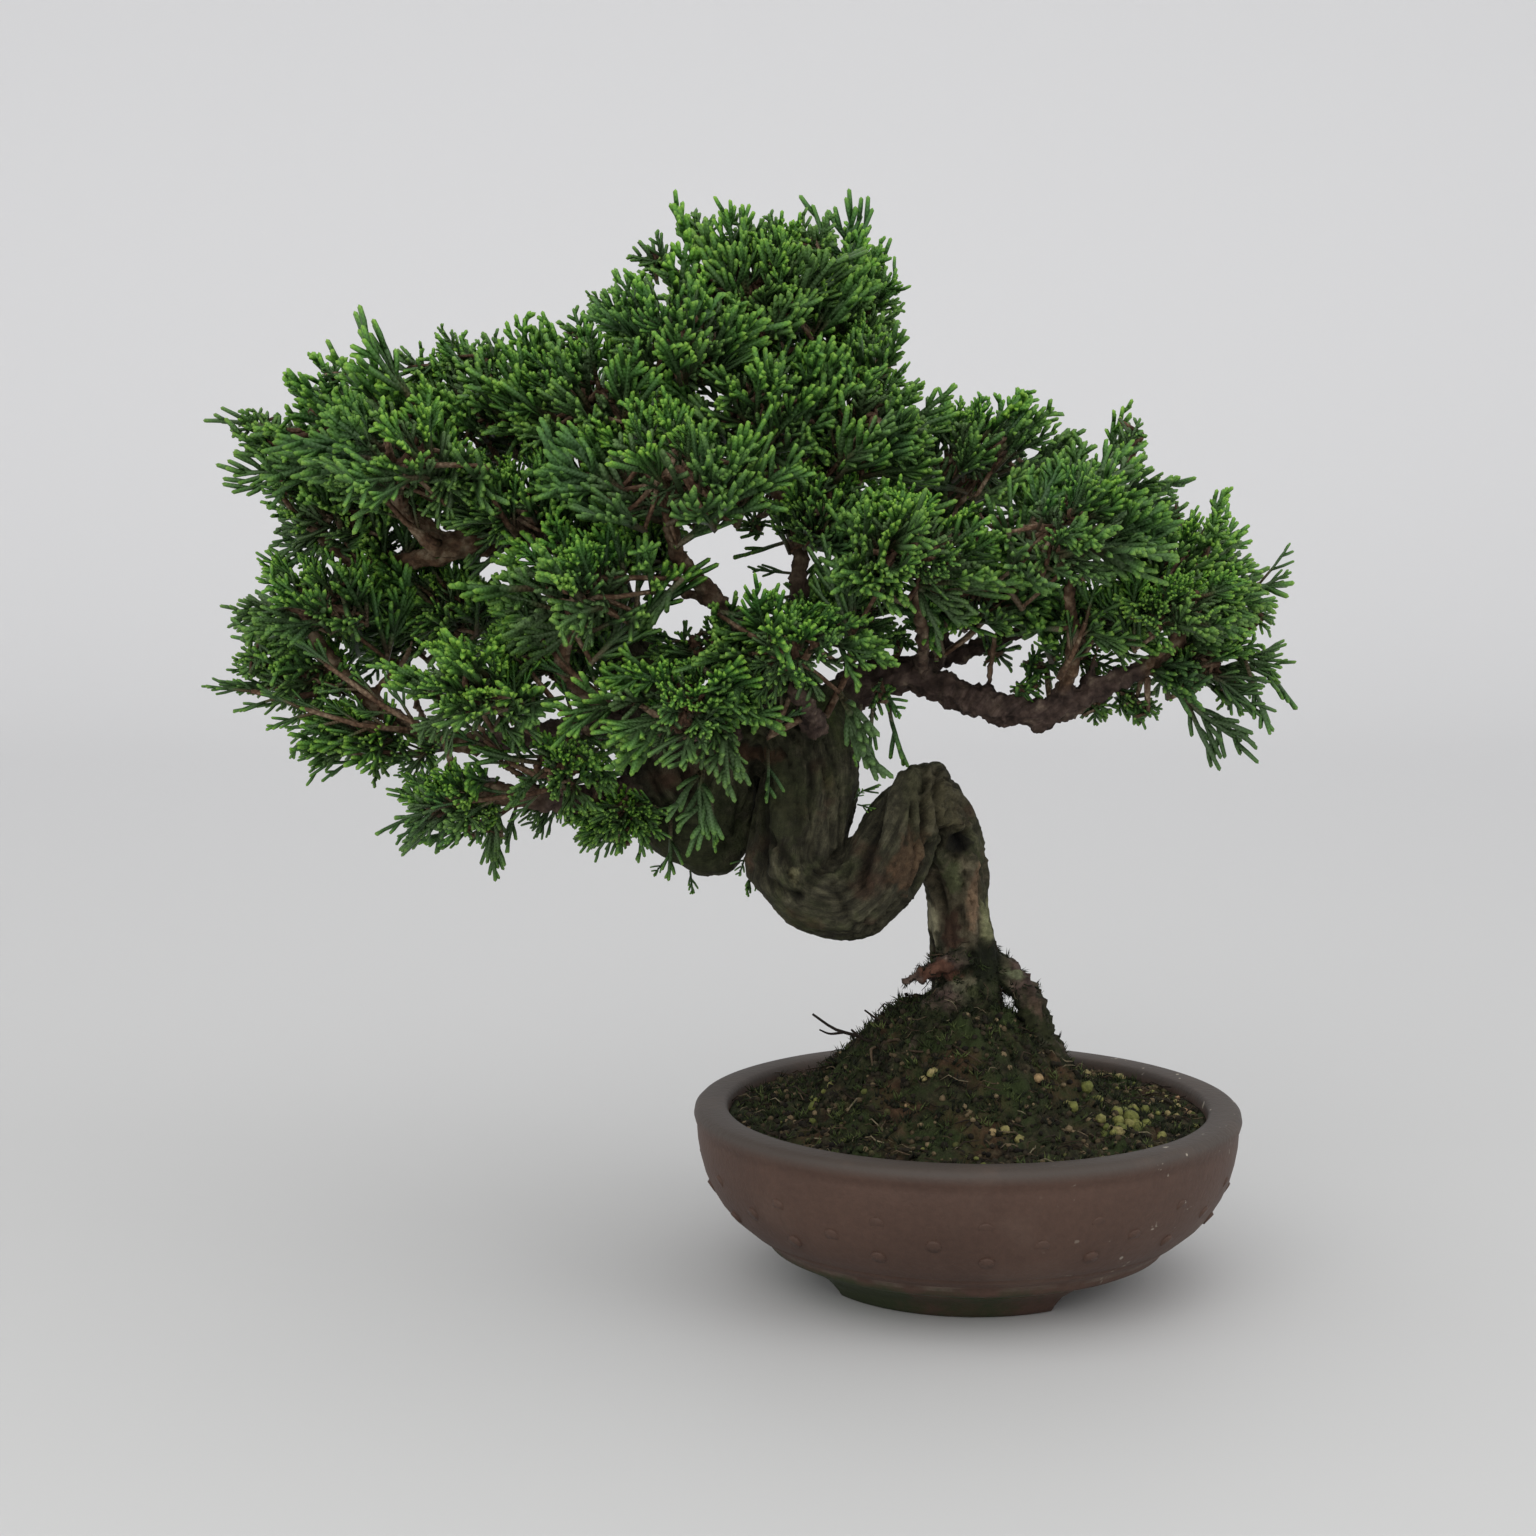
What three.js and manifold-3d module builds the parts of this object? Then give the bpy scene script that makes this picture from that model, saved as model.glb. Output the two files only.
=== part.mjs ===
// A Chinese juniper bonsai in a round, unglazed stoneware pot, built at its real size.
// Millimetres, +Z up. The front of the tree faces -Y. The group is shifted at the end so that
// its origin lies under the middle of the whole object, on the surface that it stands on.
// All sizes below are measured from the pot's axis, at the height of the pot's feet.

import * as THREE from "three";
import { mergeVertices } from "three/addons/utils/BufferGeometryUtils.js";
import Module from "manifold-3d";

const wasm = await Module();
wasm.setup();

// Driving sizes
const clearance = 0.35; // between pieces that touch
const sides = 34; // facets round the pot and the soil
const potSize = { radius: 79.4, height: 51, foot: 6.5, floor: 14, holeRadius: 11 };
const gapHalfWidth = 27; // half of each opening in the foot ring
const gapDirections = [75, 255]; // degrees from the front, towards the right
const studSize = { radius: 2, height: 2.2, proud: 0.9 };
const bowlCentre = { radius: 30, z: 60 }; // what the curve of the bowl turns about
const studRows = [
  { radius: 76.2, z: 32.5, count: 16, turn: 0 },
  { radius: 72.4, z: 24.5, count: 16, turn: 0.5 },
];
const screenSize = { radius: 15, thickness: 1, mesh: 6, opening: 4.2 };
const soilLevel = 47.2;
const mound = { x: -6, y: 0, height: 34, spread: 32, power: 2.6 };
const fingerRadius = 1.05; // a shoot is about 2 mm thick
const coreShare = 0.64; // the inner mass of a clump of foliage, against its reach
const lumpiness = { least: 0.88, most: 1.12 }; // how far that mass dents and bulges
const tuftShare = { least: 0.92, most: 1.14 }; // how far the tufts stand out of it
const rootShare = 0.4; // where a spray starts inside that mass
const forkShare = 0.9; // where a spray forks
const sprayCount = 3; // the most sprays that a clump has
const sprayAngle = 1.2; // the least angle between two of them, in radians
const sideShoot = { least: 8, spread: 4 }; // the length of a side shoot
const shortestShoot = 5; // a leading shoot with less room than this is left out
const attempts = 90; // the directions that are tried round a clump
const neighbourDistance = 70; // clumps further apart than this can't meet

// The trunk: x, y, z and radius down the middle of its bends, from inside the soil to the fork
const trunkPath = [
  [2, 1, 56, 13.5], [0, 2, 72, 11], [-1, 4, 90, 9.8], [-3, 6, 109, 9.2], [-5, 5, 124, 9],
  [-8, 2, 133, 9.4], [-12, -3, 139.5, 10.2], [-17, -8, 137, 10.2], [-22, -11.5, 127.5, 11],
  [-28.5, -12, 117, 11.6], [-36, -10.5, 112.3, 12.2], [-45, -8, 115, 13], [-50, -6.5, 122, 13.6],
  [-48.5, -5, 133, 14], [-46, -3, 147, 14.2], [-49, 1, 158, 14], [-57, 6, 161.5, 13.6],
  [-67, 10, 154, 14.4], [-74, 12, 142, 15.5], [-80, 12, 135, 15.5], [-87, 10, 142, 13.6],
  [-91, 10, 156, 11.6], [-95, 10, 173, 9.8], [-103, 8, 192, 8.5], [-109, 6, 210, 7.4],
];

// Roots and branches, each from the middle of what it grows from
const limbPaths = {
  rootRight: [[2, 6, 94, 5], [12, 2, 89, 4.6], [18.5, -2, 80, 4.3], [22, -6, 69, 5], [25, -9, 56, 6]],
  knob: [[-11, -2, 136, 9], [-15, -5, 140.5, 8.6], [-18.5, -7, 144, 6.5]],
  lobe: [
    [-64, 11, 140, 10], [-71, 12, 134, 15], [-79, 12, 131, 16.2], [-87, 11, 135, 13.5], [-92, 10, 141, 9],
  ],
  rootLeft: [[-2, -2, 84, 6.5], [-12, -12, 76, 5.5], [-19, -20, 64, 4.5]],
  leader: [
    [-109, 6, 208, 7.3], [-106, 10, 225, 6.2], [-95, 12, 243, 5], [-80, 10, 260, 4], [-66, 8, 277, 3],
  ],
  leftUp: [
    [-106, 7, 204, 6.5], [-122, 2, 218, 6], [-137, -2, 214, 5.2], [-152, -6, 213, 4.4],
    [-161, -8, 224, 3.6], [-165, -8, 235, 2.6],
  ],
  leftFar: [[-140, -2, 214, 4], [-159, 10, 208, 3], [-180, 14, 208, 2.4], [-191, 13, 218, 2]],
  lowLeft: [
    [-88, 4, 142, 8], [-103, -6, 141, 5.4], [-116, -12, 141, 4.5], [-131, -16, 143, 3.6],
    [-145, -18, 144, 2.6],
  ],
  lowFar: [
    [-92, 11, 158, 8], [-113, 20, 158, 4.8], [-137, 22, 154, 4], [-157, 16, 155, 3.6], [-172, 8, 166, 3],
    [-184, 2, 180, 2.4], [-192, 0, 192, 2],
  ],
  midLeft: [
    [-94, 8, 168, 6], [-102, -8, 160, 4], [-109, -22, 171, 3], [-115, -31, 180, 2.6],
    [-112, -37, 192, 2.2],
  ],
  lowFront: [[-66, 6, 160, 7], [-71, -18, 159, 3.4], [-78, -36, 163, 2.4]],
  frontRight: [[-44, -2, 156, 7], [-46, -26, 166, 3], [-51, -36, 175, 2.2]],
  midB: [
    [-54, 6, 164, 8], [-58, -4, 178, 4.4], [-66, -12, 190, 3.4], [-74, -18, 200, 3.1],
    [-82, -26, 208, 2.7], [-85, -34, 222, 2.2],
  ],
  midC: [
    [-50, 4, 162, 8], [-50, 4, 185, 3.4], [-48, 2, 204, 2.7], [-52, 0, 221, 2.5], [-59, -2, 234, 2.3],
    [-57, 2, 254, 2], [-54, 8, 270, 1.8],
  ],
  right: [
    [-49, 3, 158, 9], [-34, 6, 171, 6.5], [-18, 6, 176, 5.6], [-7, 2, 171, 5.2], [9, -2, 166, 5],
    [20, -4, 164, 4.8], [34, -6, 171, 3.8], [49, -6, 178, 3], [60, -5, 186, 2.4],
  ],
  rightStub: [[14, -3, 166, 4.4], [22, -4, 160, 2.2]],
  rightUpper: [
    [-20, 6, 175, 5], [-5, 14, 180, 3], [10, 20, 184, 2.5], [25, 24, 192, 2.2], [38, 25, 206, 1.8],
  ],
  rightRise: [[-6, 13, 180, 2.8], [-9, 14, 200, 2.3], [-5, 11, 220, 1.9]],
  rightTwigIn: [[-14, 5, 175, 3], [-14, -13, 184, 2.1], [-17, -28, 199, 1.8]],
  rightTwigOut: [[25, -5, 167, 3], [28, -14, 181, 2.3], [25, -27, 202, 1.9]],
};

// Clumps of foliage: middle, half sizes, the limb that carries the clump and where along it,
// and the tips that stand out from the outline of the tree
const clumps = {
  apex_top: {
    at: [-58, 4, 288], size: [27, 28, 18], limb: "leader", along: 1,
    tips: [[-84, 4, 308], [-60, 2, 310.5]],
  },
  apex_right: {
    at: [-34, 24, 283], size: [18, 24, 19], limb: "midC", along: 0.97,
    tips: [[-37, 20, 310], [-19, 24, 304]],
  },
  apex_left: {
    at: [-84, -20, 274], size: [25, 26, 18], limb: "leader", along: 0.8,
    tips: [[-98, -20, 296], [-85, -22, 299]],
  },
  apex_back: { at: [-66, 50, 281], size: [28, 26, 19], limb: "leader", along: 0.85 },
  shoulder: {
    at: [-110, -10, 257], size: [26, 28, 20], limb: "leader", along: 0.4,
    tips: [[-116, -10, 285]],
  },
  shoulder_back: { at: [-121, 46, 253], size: [30, 26, 19], limb: "leader", along: 0.25 },
  ridge_left: {
    at: [-142, 2, 254], size: [27, 28, 20], limb: "leftUp", along: 0.3,
    tips: [[-139, 0, 280], [-125, -6, 275]],
  },
  far_left_top: {
    at: [-183, 6, 248], size: [26, 28, 20], limb: "leftUp", along: 1,
    tips: [[-221.5, 6, 252], [-182, 6, 274]],
  },
  far_left_front: {
    at: [-160, -36, 238], size: [24, 26, 21], limb: "leftUp", along: 0.78,
    tips: [[-168, -44, 268]],
  },
  far_left_under: {
    at: [-189, 14, 222], size: [24, 26, 16], limb: "leftFar", along: 0.92,
    tips: [[-209, 14, 219]],
  },
  far_left_back: { at: [-169, 48, 238], size: [29, 26, 19], limb: "leftFar", along: 0.45 },
  left_mid: {
    at: [-190, -2, 198], size: [25, 28, 17], limb: "lowFar", along: 0.98,
    tips: [[-208, -8, 206]],
  },
  left_mid_inner: { at: [-156, 18, 195], size: [23, 24, 19], limb: "lowFar", along: 0.75 },
  left_mid_back: { at: [-173, 54, 190], size: [27, 24, 18], limb: "lowFar", along: 0.55 },
  left_low: {
    at: [-197, 6, 175], size: [18, 22, 13], limb: "lowFar", along: 0.86,
    tips: [[-214, 4, 168]],
  },
  left_drop: {
    at: [-180, 4, 157], size: [18, 20, 12], limb: "lowFar", along: 0.72,
    tips: [[-191, 2, 144]],
  },
  inner_left: { at: [-132, -18, 227], size: [22, 20, 15], limb: "leftUp", along: 0.45 },
  mid_left_front: { at: [-112, -44, 203], size: [30, 26, 19], limb: "midLeft", along: 1 },
  lower_left_front: { at: [-142, -42, 174], size: [24, 24, 19], limb: "lowLeft", along: 0.6 },
  low_left_tip: {
    at: [-150, -22, 139], size: [19, 22, 14], limb: "lowLeft", along: 0.95,
    tips: [[-139, -20, 116]],
  },
  low_left_mid: { at: [-119, -30, 151], size: [19, 18, 12], limb: "lowLeft", along: 0.45 },
  low_left_inner: { at: [-101, -12, 134], size: [13, 15, 8], limb: "lowLeft", along: 0.2 },
  left_centre: { at: [-126, -4, 183], size: [22, 20, 17], limb: "midLeft", along: 0.55 },
  left_centre_high: { at: [-99, -10, 213], size: [18, 20, 15], limb: "midB", along: 0.55 },
  centre_left_low: { at: [-77, -16, 184], size: [16, 18, 14], limb: "midB", along: 0.2 },
  centre_front: { at: [-86, -46, 235], size: [30, 26, 20], limb: "midB", along: 1 },
  centre_low: {
    at: [-84, -50, 169], size: [26, 22, 19], limb: "lowFront", along: 1,
    tips: [[-79, -54, 136]],
  },
  centre_right_low: {
    at: [-50, -48, 185], size: [26, 22, 17], limb: "frontRight", along: 1,
    tips: [[-28, -52, 157]],
  },
  centre_top: { at: [-62, -14, 256], size: [27, 28, 18], limb: "midC", along: 0.8 },
  centre_high: { at: [-38, -12, 224], size: [18, 22, 14], limb: "midC", along: 0.5 },
  centre_right_mid: { at: [-31, -4, 196], size: [20, 24, 15], limb: "right", along: 0.13 },
  centre_back: { at: [-48, 60, 243], size: [31, 28, 20], limb: "midC", along: 0.6 },
  mid_back: { at: [-97, 60, 231], size: [28, 26, 18], limb: "leader", along: 0.05 },
  apex_right_low: { at: [-25, 6, 267], size: [18, 22, 12], limb: "midC", along: 0.9 },
  right_high: { at: [-30, -12, 250], size: [26, 26, 18], limb: "midC", along: 0.66 },
  right_high_outer: {
    at: [5, 6, 242], size: [27, 28, 18], limb: "rightRise", along: 1,
    tips: [[8, 6, 264], [26, 4, 258]],
  },
  right_front_inner: { at: [-17, -44, 213], size: [26, 26, 20], limb: "rightTwigIn", along: 1 },
  right_front: {
    at: [26, -42, 219], size: [26, 26, 20], limb: "rightTwigOut", along: 1,
    tips: [[50, -22, 250]],
  },
  right_back: { at: [0, 54, 222], size: [31, 28, 19], limb: "rightUpper", along: 0.6 },
  right_back_outer: {
    at: [44, 28, 230], size: [23, 26, 17], limb: "rightUpper", along: 1,
    tips: [[44, 26, 254]],
  },
  right_centre: { at: [8, -4, 199], size: [24, 22, 14], limb: "right", along: 0.5 },
  right_under: { at: [37, -10, 193], size: [24, 24, 12], limb: "right", along: 0.74 },
  far_right: {
    at: [65, -8, 209], size: [25, 28, 19], limb: "right", along: 1,
    tips: [[92.5, -6, 200], [68, -6, 230]],
  },
  far_right_front: { at: [57, -36, 197], size: [18, 20, 14], limb: "right", along: 0.9 },
  far_right_low: {
    at: [71, 2, 180], size: [18, 24, 15], limb: "right", along: 0.88,
    tips: [[78, 0, 154], [89, -6, 184]],
  },
};

// A seeded random draw, the same on every run
function randomDraw(seed) {
  let state = seed >>> 0;
  return () => {
    state = (state + 0x6d2b79f5) >>> 0;
    let t = state;
    t = Math.imul(t ^ (t >>> 15), t | 1);
    t ^= t + Math.imul(t ^ (t >>> 7), t | 61);
    return ((t ^ (t >>> 14)) >>> 0) / 4294967296;
  };
}

// A three.js geometry as a solid that can be joined and cut
function solidOf(geometry) {
  const bare = geometry.clone();
  bare.deleteAttribute("normal");
  bare.deleteAttribute("uv");
  const merged = mergeVertices(bare, 1e-4);
  return new wasm.Manifold(
    new wasm.Mesh({
      numProp: 3,
      vertProperties: new Float32Array(merged.attributes.position.array),
      triVerts: new Uint32Array(merged.index.array),
    }),
  );
}

// The largest body of a solid as a three.js geometry
function geometryOf(solid) {
  const bodies = solid.decompose();
  const largest = bodies.reduce((a, b) => (b.volume() > a.volume() ? b : a));
  const mesh = largest.getMesh();
  const geometry = new THREE.BufferGeometry();
  geometry.setAttribute("position", new THREE.BufferAttribute(mesh.vertProperties, 3));
  geometry.setIndex(new THREE.BufferAttribute(mesh.triVerts, 1));
  geometry.computeVertexNormals();
  return geometry;
}

const joined = (solids) => wasm.Manifold.union(solids);
const vector = (p) => new THREE.Vector3(p[0], p[1], p[2]);
const towards = (degrees) => {
  const a = THREE.MathUtils.degToRad(degrees);
  return new THREE.Vector3(Math.sin(a), -Math.cos(a), 0);
};

// A profile of [radius, height] points, closed on itself or on the axis, turned about Z
function turned(profile) {
  const points = profile.map(([r, z]) => new THREE.Vector2(r, z));
  return new THREE.LatheGeometry(points, sides).rotateX(Math.PI / 2);
}

// The outline of the pot's inside, from the lip down to the floor
const potInside = [[69.8, 50.2], [68.4, 43], [63, 27], [52, 16.5]];

function potSolid() {
  const { radius, height, foot, floor, holeRadius } = potSize;
  const outside = [
    [holeRadius, foot], [36.5, foot], [37.5, 0], [42, 0], [43.5, foot], [56, 9.8], [57.2, 11.6], [65.6, 17],
    [71.8, 23.5], [75.9, 31.5], [78, 39], [radius, 48.6], [78.6, 50.5], [77.2, height], [70.6, height],
  ];
  const inside = [...potInside, [44, floor], [holeRadius, floor], [holeRadius, foot]];
  let pot = solidOf(turned([...outside, ...inside]));
  for (const direction of gapDirections) {
    const opening = new THREE.BoxGeometry(2 * gapHalfWidth, 40, 2 * (foot - 1));
    opening.rotateZ(THREE.MathUtils.degToRad(direction));
    opening.translate(...towards(direction).multiplyScalar(48).toArray());
    pot = pot.subtract(solidOf(opening));
  }
  return pot.add(joined(studRows.flatMap(studsOf)));
}

// Low studs in a ring, standing square to the bowl's wall
function studsOf({ radius, z, count, turn }) {
  const lean = Math.atan2(z - bowlCentre.z, radius - bowlCentre.radius);
  return Array.from({ length: count }, (_, i) => {
    const out = towards(((i + turn) * 360) / count).multiplyScalar(Math.cos(lean));
    out.z = Math.sin(lean);
    const stud = new THREE.ConeGeometry(studSize.radius, studSize.height, 4);
    stud.applyQuaternion(new THREE.Quaternion().setFromUnitVectors(new THREE.Vector3(0, 1, 0), out));
    const foot = towards(((i + turn) * 360) / count).multiplyScalar(radius);
    foot.z = z;
    stud.translate(...foot.addScaledVector(out, studSize.proud - studSize.height / 2).toArray());
    return solidOf(stud);
  });
}

// The plastic mesh over the drainage hole
function screenSolid() {
  const { radius, thickness, mesh, opening } = screenSize;
  const plate = new THREE.CylinderGeometry(radius, radius, thickness, 20).rotateX(Math.PI / 2);
  const openings = [];
  for (const x of [-mesh, 0, mesh]) {
    for (const y of [-mesh, 0, mesh]) {
      openings.push(solidOf(new THREE.BoxGeometry(opening, opening, 3 * thickness).translate(x, y, 0)));
    }
  }
  const screen = solidOf(plate).subtract(joined(openings));
  return screen.translate([0, 0, potSize.floor + clearance + thickness / 2]);
}

// How high the soil stands at a point
function soilHeight(x, y) {
  const far = Math.hypot(x - mound.x, y - mound.y) / mound.spread;
  const heap = mound.height * Math.exp(-Math.pow(far, mound.power));
  const lumps = 0.9 * Math.sin(x * 0.31 + 1.7) * Math.sin(y * 0.27 + 0.4);
  const grain = 0.5 * Math.sin(x * 0.83 - y * 0.6);
  const edge = Math.min(1, (70 - Math.hypot(x, y)) / 10); // the lumps flatten out towards the pot
  return soilLevel + heap + (lumps + grain) * edge;
}

function soilSolid() {
  const top = [66, 52, 38, 27, 17, 0].map((r) => [r, soilLevel]);
  const wall = potInside.map(([r, z]) => [r - clearance, z]).filter(([, z]) => z < soilLevel);
  const screenTop = potSize.floor + screenSize.thickness + 2 * clearance;
  const bottom = potSize.floor + clearance;
  const under = [
    [0, screenTop], [screenSize.radius + 1, screenTop], [screenSize.radius + 1.5, bottom], [44, bottom],
  ];
  const heap = turned([...under, ...wall.reverse(), ...top]);
  const place = heap.attributes.position;
  for (let i = 0; i < place.count; i++) {
    if (Math.abs(place.getZ(i) - soilLevel) > 1e-3) continue;
    place.setZ(i, soilHeight(place.getX(i), place.getY(i)));
  }
  return solidOf(heap);
}

const curveOf = (path) => new THREE.CatmullRomCurve3(path.map(vector), false, "centripetal");

// A point on a limb, and the radius there
function pointAlong(path, share, curve = curveOf(path)) {
  const t = curve.getUtoTmapping(share) * (path.length - 1);
  const k = Math.min(path.length - 2, Math.floor(t));
  return { spot: curve.getPointAt(share), radius: THREE.MathUtils.lerp(path[k][3], path[k + 1][3], t - k) };
}

// A tapering limb: a cylinder bent along a smooth curve through points of x, y, z and radius.
// ridges draws the trunk's long ribs, and grow makes the limb thicker by that much all over.
function limbSolid(path, { around, steps = path.length, ridges = 0, grow }) {
  const curve = curveOf(path);
  const frames = curve.computeFrenetFrames(steps, false);
  const limb = new THREE.CylinderGeometry(1, 1, 1, around, steps);
  const place = limb.attributes.position;
  for (let i = 0; i < place.count; i++) {
    const step = Math.round((0.5 - place.getY(i)) * steps);
    const u = step / steps;
    const { spot, radius } = pointAlong(path, u, curve);
    const angle = Math.atan2(place.getZ(i), place.getX(i));
    const rib = 1 + ridges * Math.sin(3 * angle + 9 * u) + 0.6 * ridges * Math.sin(5 * angle - 14 * u);
    const reach = radius * rib + grow;
    spot.addScaledVector(frames.normals[step], place.getX(i) * reach);
    spot.addScaledVector(frames.binormals[step], place.getZ(i) * reach);
    if (step === 0) spot.addScaledVector(frames.tangents[step], -grow);
    if (step === steps) spot.addScaledVector(frames.tangents[step], grow);
    place.setXYZ(i, spot.x, spot.y, spot.z);
  }
  return solidOf(limb);
}

// The twig that carries a clump, from its limb to inside the clump's inner mass
function twigPath({ at, size, limb, along }) {
  const { spot, radius } = pointAlong(limbPaths[limb], along);
  const end = vector(at);
  const inward = spot.clone().sub(end);
  const depth = Math.min(0.2 * size[2], inward.length() / 3);
  end.addScaledVector(inward.clone().normalize(), depth);
  const bend = spot.clone().lerp(end, 0.5);
  bend.z -= 0.12 * inward.length();
  bend.y += 0.06 * inward.length();
  const thick = Math.min(radius * 0.8, 2);
  return [[...spot.toArray(), thick], [...bend.toArray(), thick * 0.8], [...end.toArray(), 1]];
}

const twigPaths = Object.values(clumps).map(twigPath);

// A flap of peeled bark at the foot of the trunk
const flapPath = [[0, -4, 94, 5], [-9, -8, 91.5, 3.4], [-19, -11, 88, 0.8]];

function woodSolid(grow = 0) {
  const trunk = limbSolid(trunkPath, { around: 10, steps: 32, ridges: 0.07, grow });
  const limbs = Object.values(limbPaths).map((path) => limbSolid(path, { around: 5, grow }));
  const twigs = twigPaths.map((path) => limbSolid(path, { around: 3, steps: 2, grow }));
  return joined([trunk, limbSolid(flapPath, { around: 4, grow }), ...limbs, ...twigs]);
}

// Everything that a shoot has to stay clear of: round-ended rods with an owner
const rods = [];

function addRods(path, owner) {
  const count = 3 * path.length;
  for (let i = 0; i < count; i++) {
    const [from, middle, to] = [i, i + 0.5, i + 1].map((step) => pointAlong(path, step / count));
    rods.push({ from: from.spot, to: to.spot, radius: middle.radius * 1.1, owner });
  }
}

// The shortest distance between two straight rods, by narrowing down the place along the first
function rodDistance(from, to, rod) {
  const line = new THREE.Line3(rod.from, rod.to);
  const near = new THREE.Vector3();
  const away = (share) => {
    const spot = from.clone().lerp(to, share);
    return line.closestPointToPoint(spot, true, near).distanceTo(spot);
  };
  let [low, high] = [0, 1];
  for (let i = 0; i < 9; i++) {
    const [third, other] = [low + (high - low) / 3, high - (high - low) / 3];
    if (away(third) < away(other)) high = other;
    else low = third;
  }
  return away((low + high) / 2);
}

// Whether a shoot keeps its distance from all that belongs to another piece
function isClear(from, to, owner) {
  const margin = fingerRadius + clearance;
  const reach = from.distanceTo(to) + 20;
  for (const rod of rods) {
    if (rod.owner === owner || rod.from.distanceTo(from) > reach) continue;
    if (rodDistance(from, to, rod) < rod.radius + margin) return false;
  }
  for (const [name, { at, size }] of Object.entries(clumps)) {
    if (name === owner) continue;
    const [x, y, z] = size.map((s) => s * coreShare * lumpiness.most + margin);
    for (const share of [0.25, 0.5, 0.75, 1]) {
      const spot = from.clone().lerp(to, share).sub(vector(at));
      if ((spot.x / x) ** 2 + (spot.y / y) ** 2 + (spot.z / z) ** 2 < 1) return false;
    }
  }
  return true;
}

// A function that gives the directions square to a heading, by their angle in degrees
function squareTo(heading) {
  const across = new THREE.Vector3(0, 0, 1).cross(heading).normalize();
  const back = heading.clone().cross(across);
  return (degrees) => {
    const a = THREE.MathUtils.degToRad(degrees);
    return across.clone().multiplyScalar(Math.cos(a)).addScaledVector(back, Math.sin(a));
  };
}

// A spray: a three-sided stem whose sides each carry a shoot at the fork, and which goes on as
// the leading shoot. Every shoot narrows to a blunt edge.
function spraySolid(root, fork, tip, sideTips) {
  const heading = fork.clone().sub(root).normalize();
  const square = squareTo(heading);
  const points = [];
  const addPoint = (middle, way, length) => points.push(middle.clone().addScaledVector(way, length)) - 1;
  const ring = (middle, radius) => [0, 120, 240].map((turn) => addPoint(middle, square(turn), radius));
  const edge = (middle, k) => {
    const way = square(120 * (k + 1)).sub(square(120 * k)).normalize();
    return [-0.5, 0.5].map((half) => addPoint(middle, way, half * fingerRadius));
  };
  const bottom = ring(root, fingerRadius);
  const low = ring(fork.clone().addScaledVector(heading, -fingerRadius), fingerRadius * 1.1);
  const high = ring(fork.clone().addScaledVector(heading, fingerRadius), fingerRadius * 1.1);
  const [p, q] = edge(tip, 0);
  const faces = [
    [bottom[0], bottom[2], bottom[1]],
    [high[0], high[1], q], [high[0], q, p], [high[1], high[2], q], [high[2], high[0], p], [high[2], p, q],
  ];
  for (const k of [0, 1, 2]) {
    const next = (k + 1) % 3;
    const [a, b, c, d] = [low[k], low[next], high[next], high[k]];
    faces.push([bottom[k], bottom[next], b], [bottom[k], b, a]);
    if (!sideTips[k]) {
      faces.push([a, b, c], [a, c, d]);
      continue;
    }
    const [m, n] = edge(sideTips[k], k);
    faces.push([a, b, n], [a, n, m], [m, n, c], [m, c, d], [b, c, n], [a, m, d]);
  }
  const spray = new THREE.BufferGeometry().setFromPoints(points);
  spray.setIndex(faces.flat());
  return solidOf(spray);
}

// A spray of a clump in one direction, or up to a given tip. It is shortened where something
// else is close, and left out where there is no room.
function sprayOf(name, direction, reach, draw) {
  const { at, size } = clumps[name];
  const shell = 1 / Math.hypot(direction.x / size[0], direction.y / size[1], direction.z / size[2]);
  const outTo = (share) => vector(at).addScaledVector(direction, shell * share);
  const lift = new THREE.Vector3(0, 0, shell * (0.04 + 0.1 * draw()));
  const root = outTo(rootShare);
  const fork = outTo(forkShare).addScaledVector(lift, 0.4);
  const tip = reach ?? outTo(1.1 + 0.14 * draw()).add(lift);
  if (reach) fork.lerp(reach, 0.35);
  const leave = root.clone().lerp(fork, 0.6);
  if (!isClear(leave, fork, name)) return null;
  while (!isClear(fork, tip, name)) {
    if (tip.distanceTo(fork) < shortestShoot) return null;
    tip.lerp(fork, 0.25);
  }
  const heading = fork.clone().sub(root).normalize();
  const square = squareTo(heading);
  const sideTips = [60, 180, 300].map((degrees) => {
    const way = heading.clone().addScaledVector(square(degrees), 0.8 + 0.35 * draw()).normalize();
    const length = Math.min(sideShoot.least + sideShoot.spread * draw(), 1.1 * fork.distanceTo(tip));
    for (const share of [1, 0.75, 0.55]) {
      const end = fork.clone().addScaledVector(way, length * share);
      if (isClear(fork.clone().lerp(end, 0.2), end, name)) return end;
    }
    return null;
  });
  rods.push({ from: leave, to: fork, radius: fingerRadius * 1.1, owner: name });
  for (const end of [tip, ...sideTips]) {
    if (end) rods.push({ from: fork, to: end, radius: fingerRadius, owner: name });
  }
  return spraySolid(root, fork, tip, sideTips);
}

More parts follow.
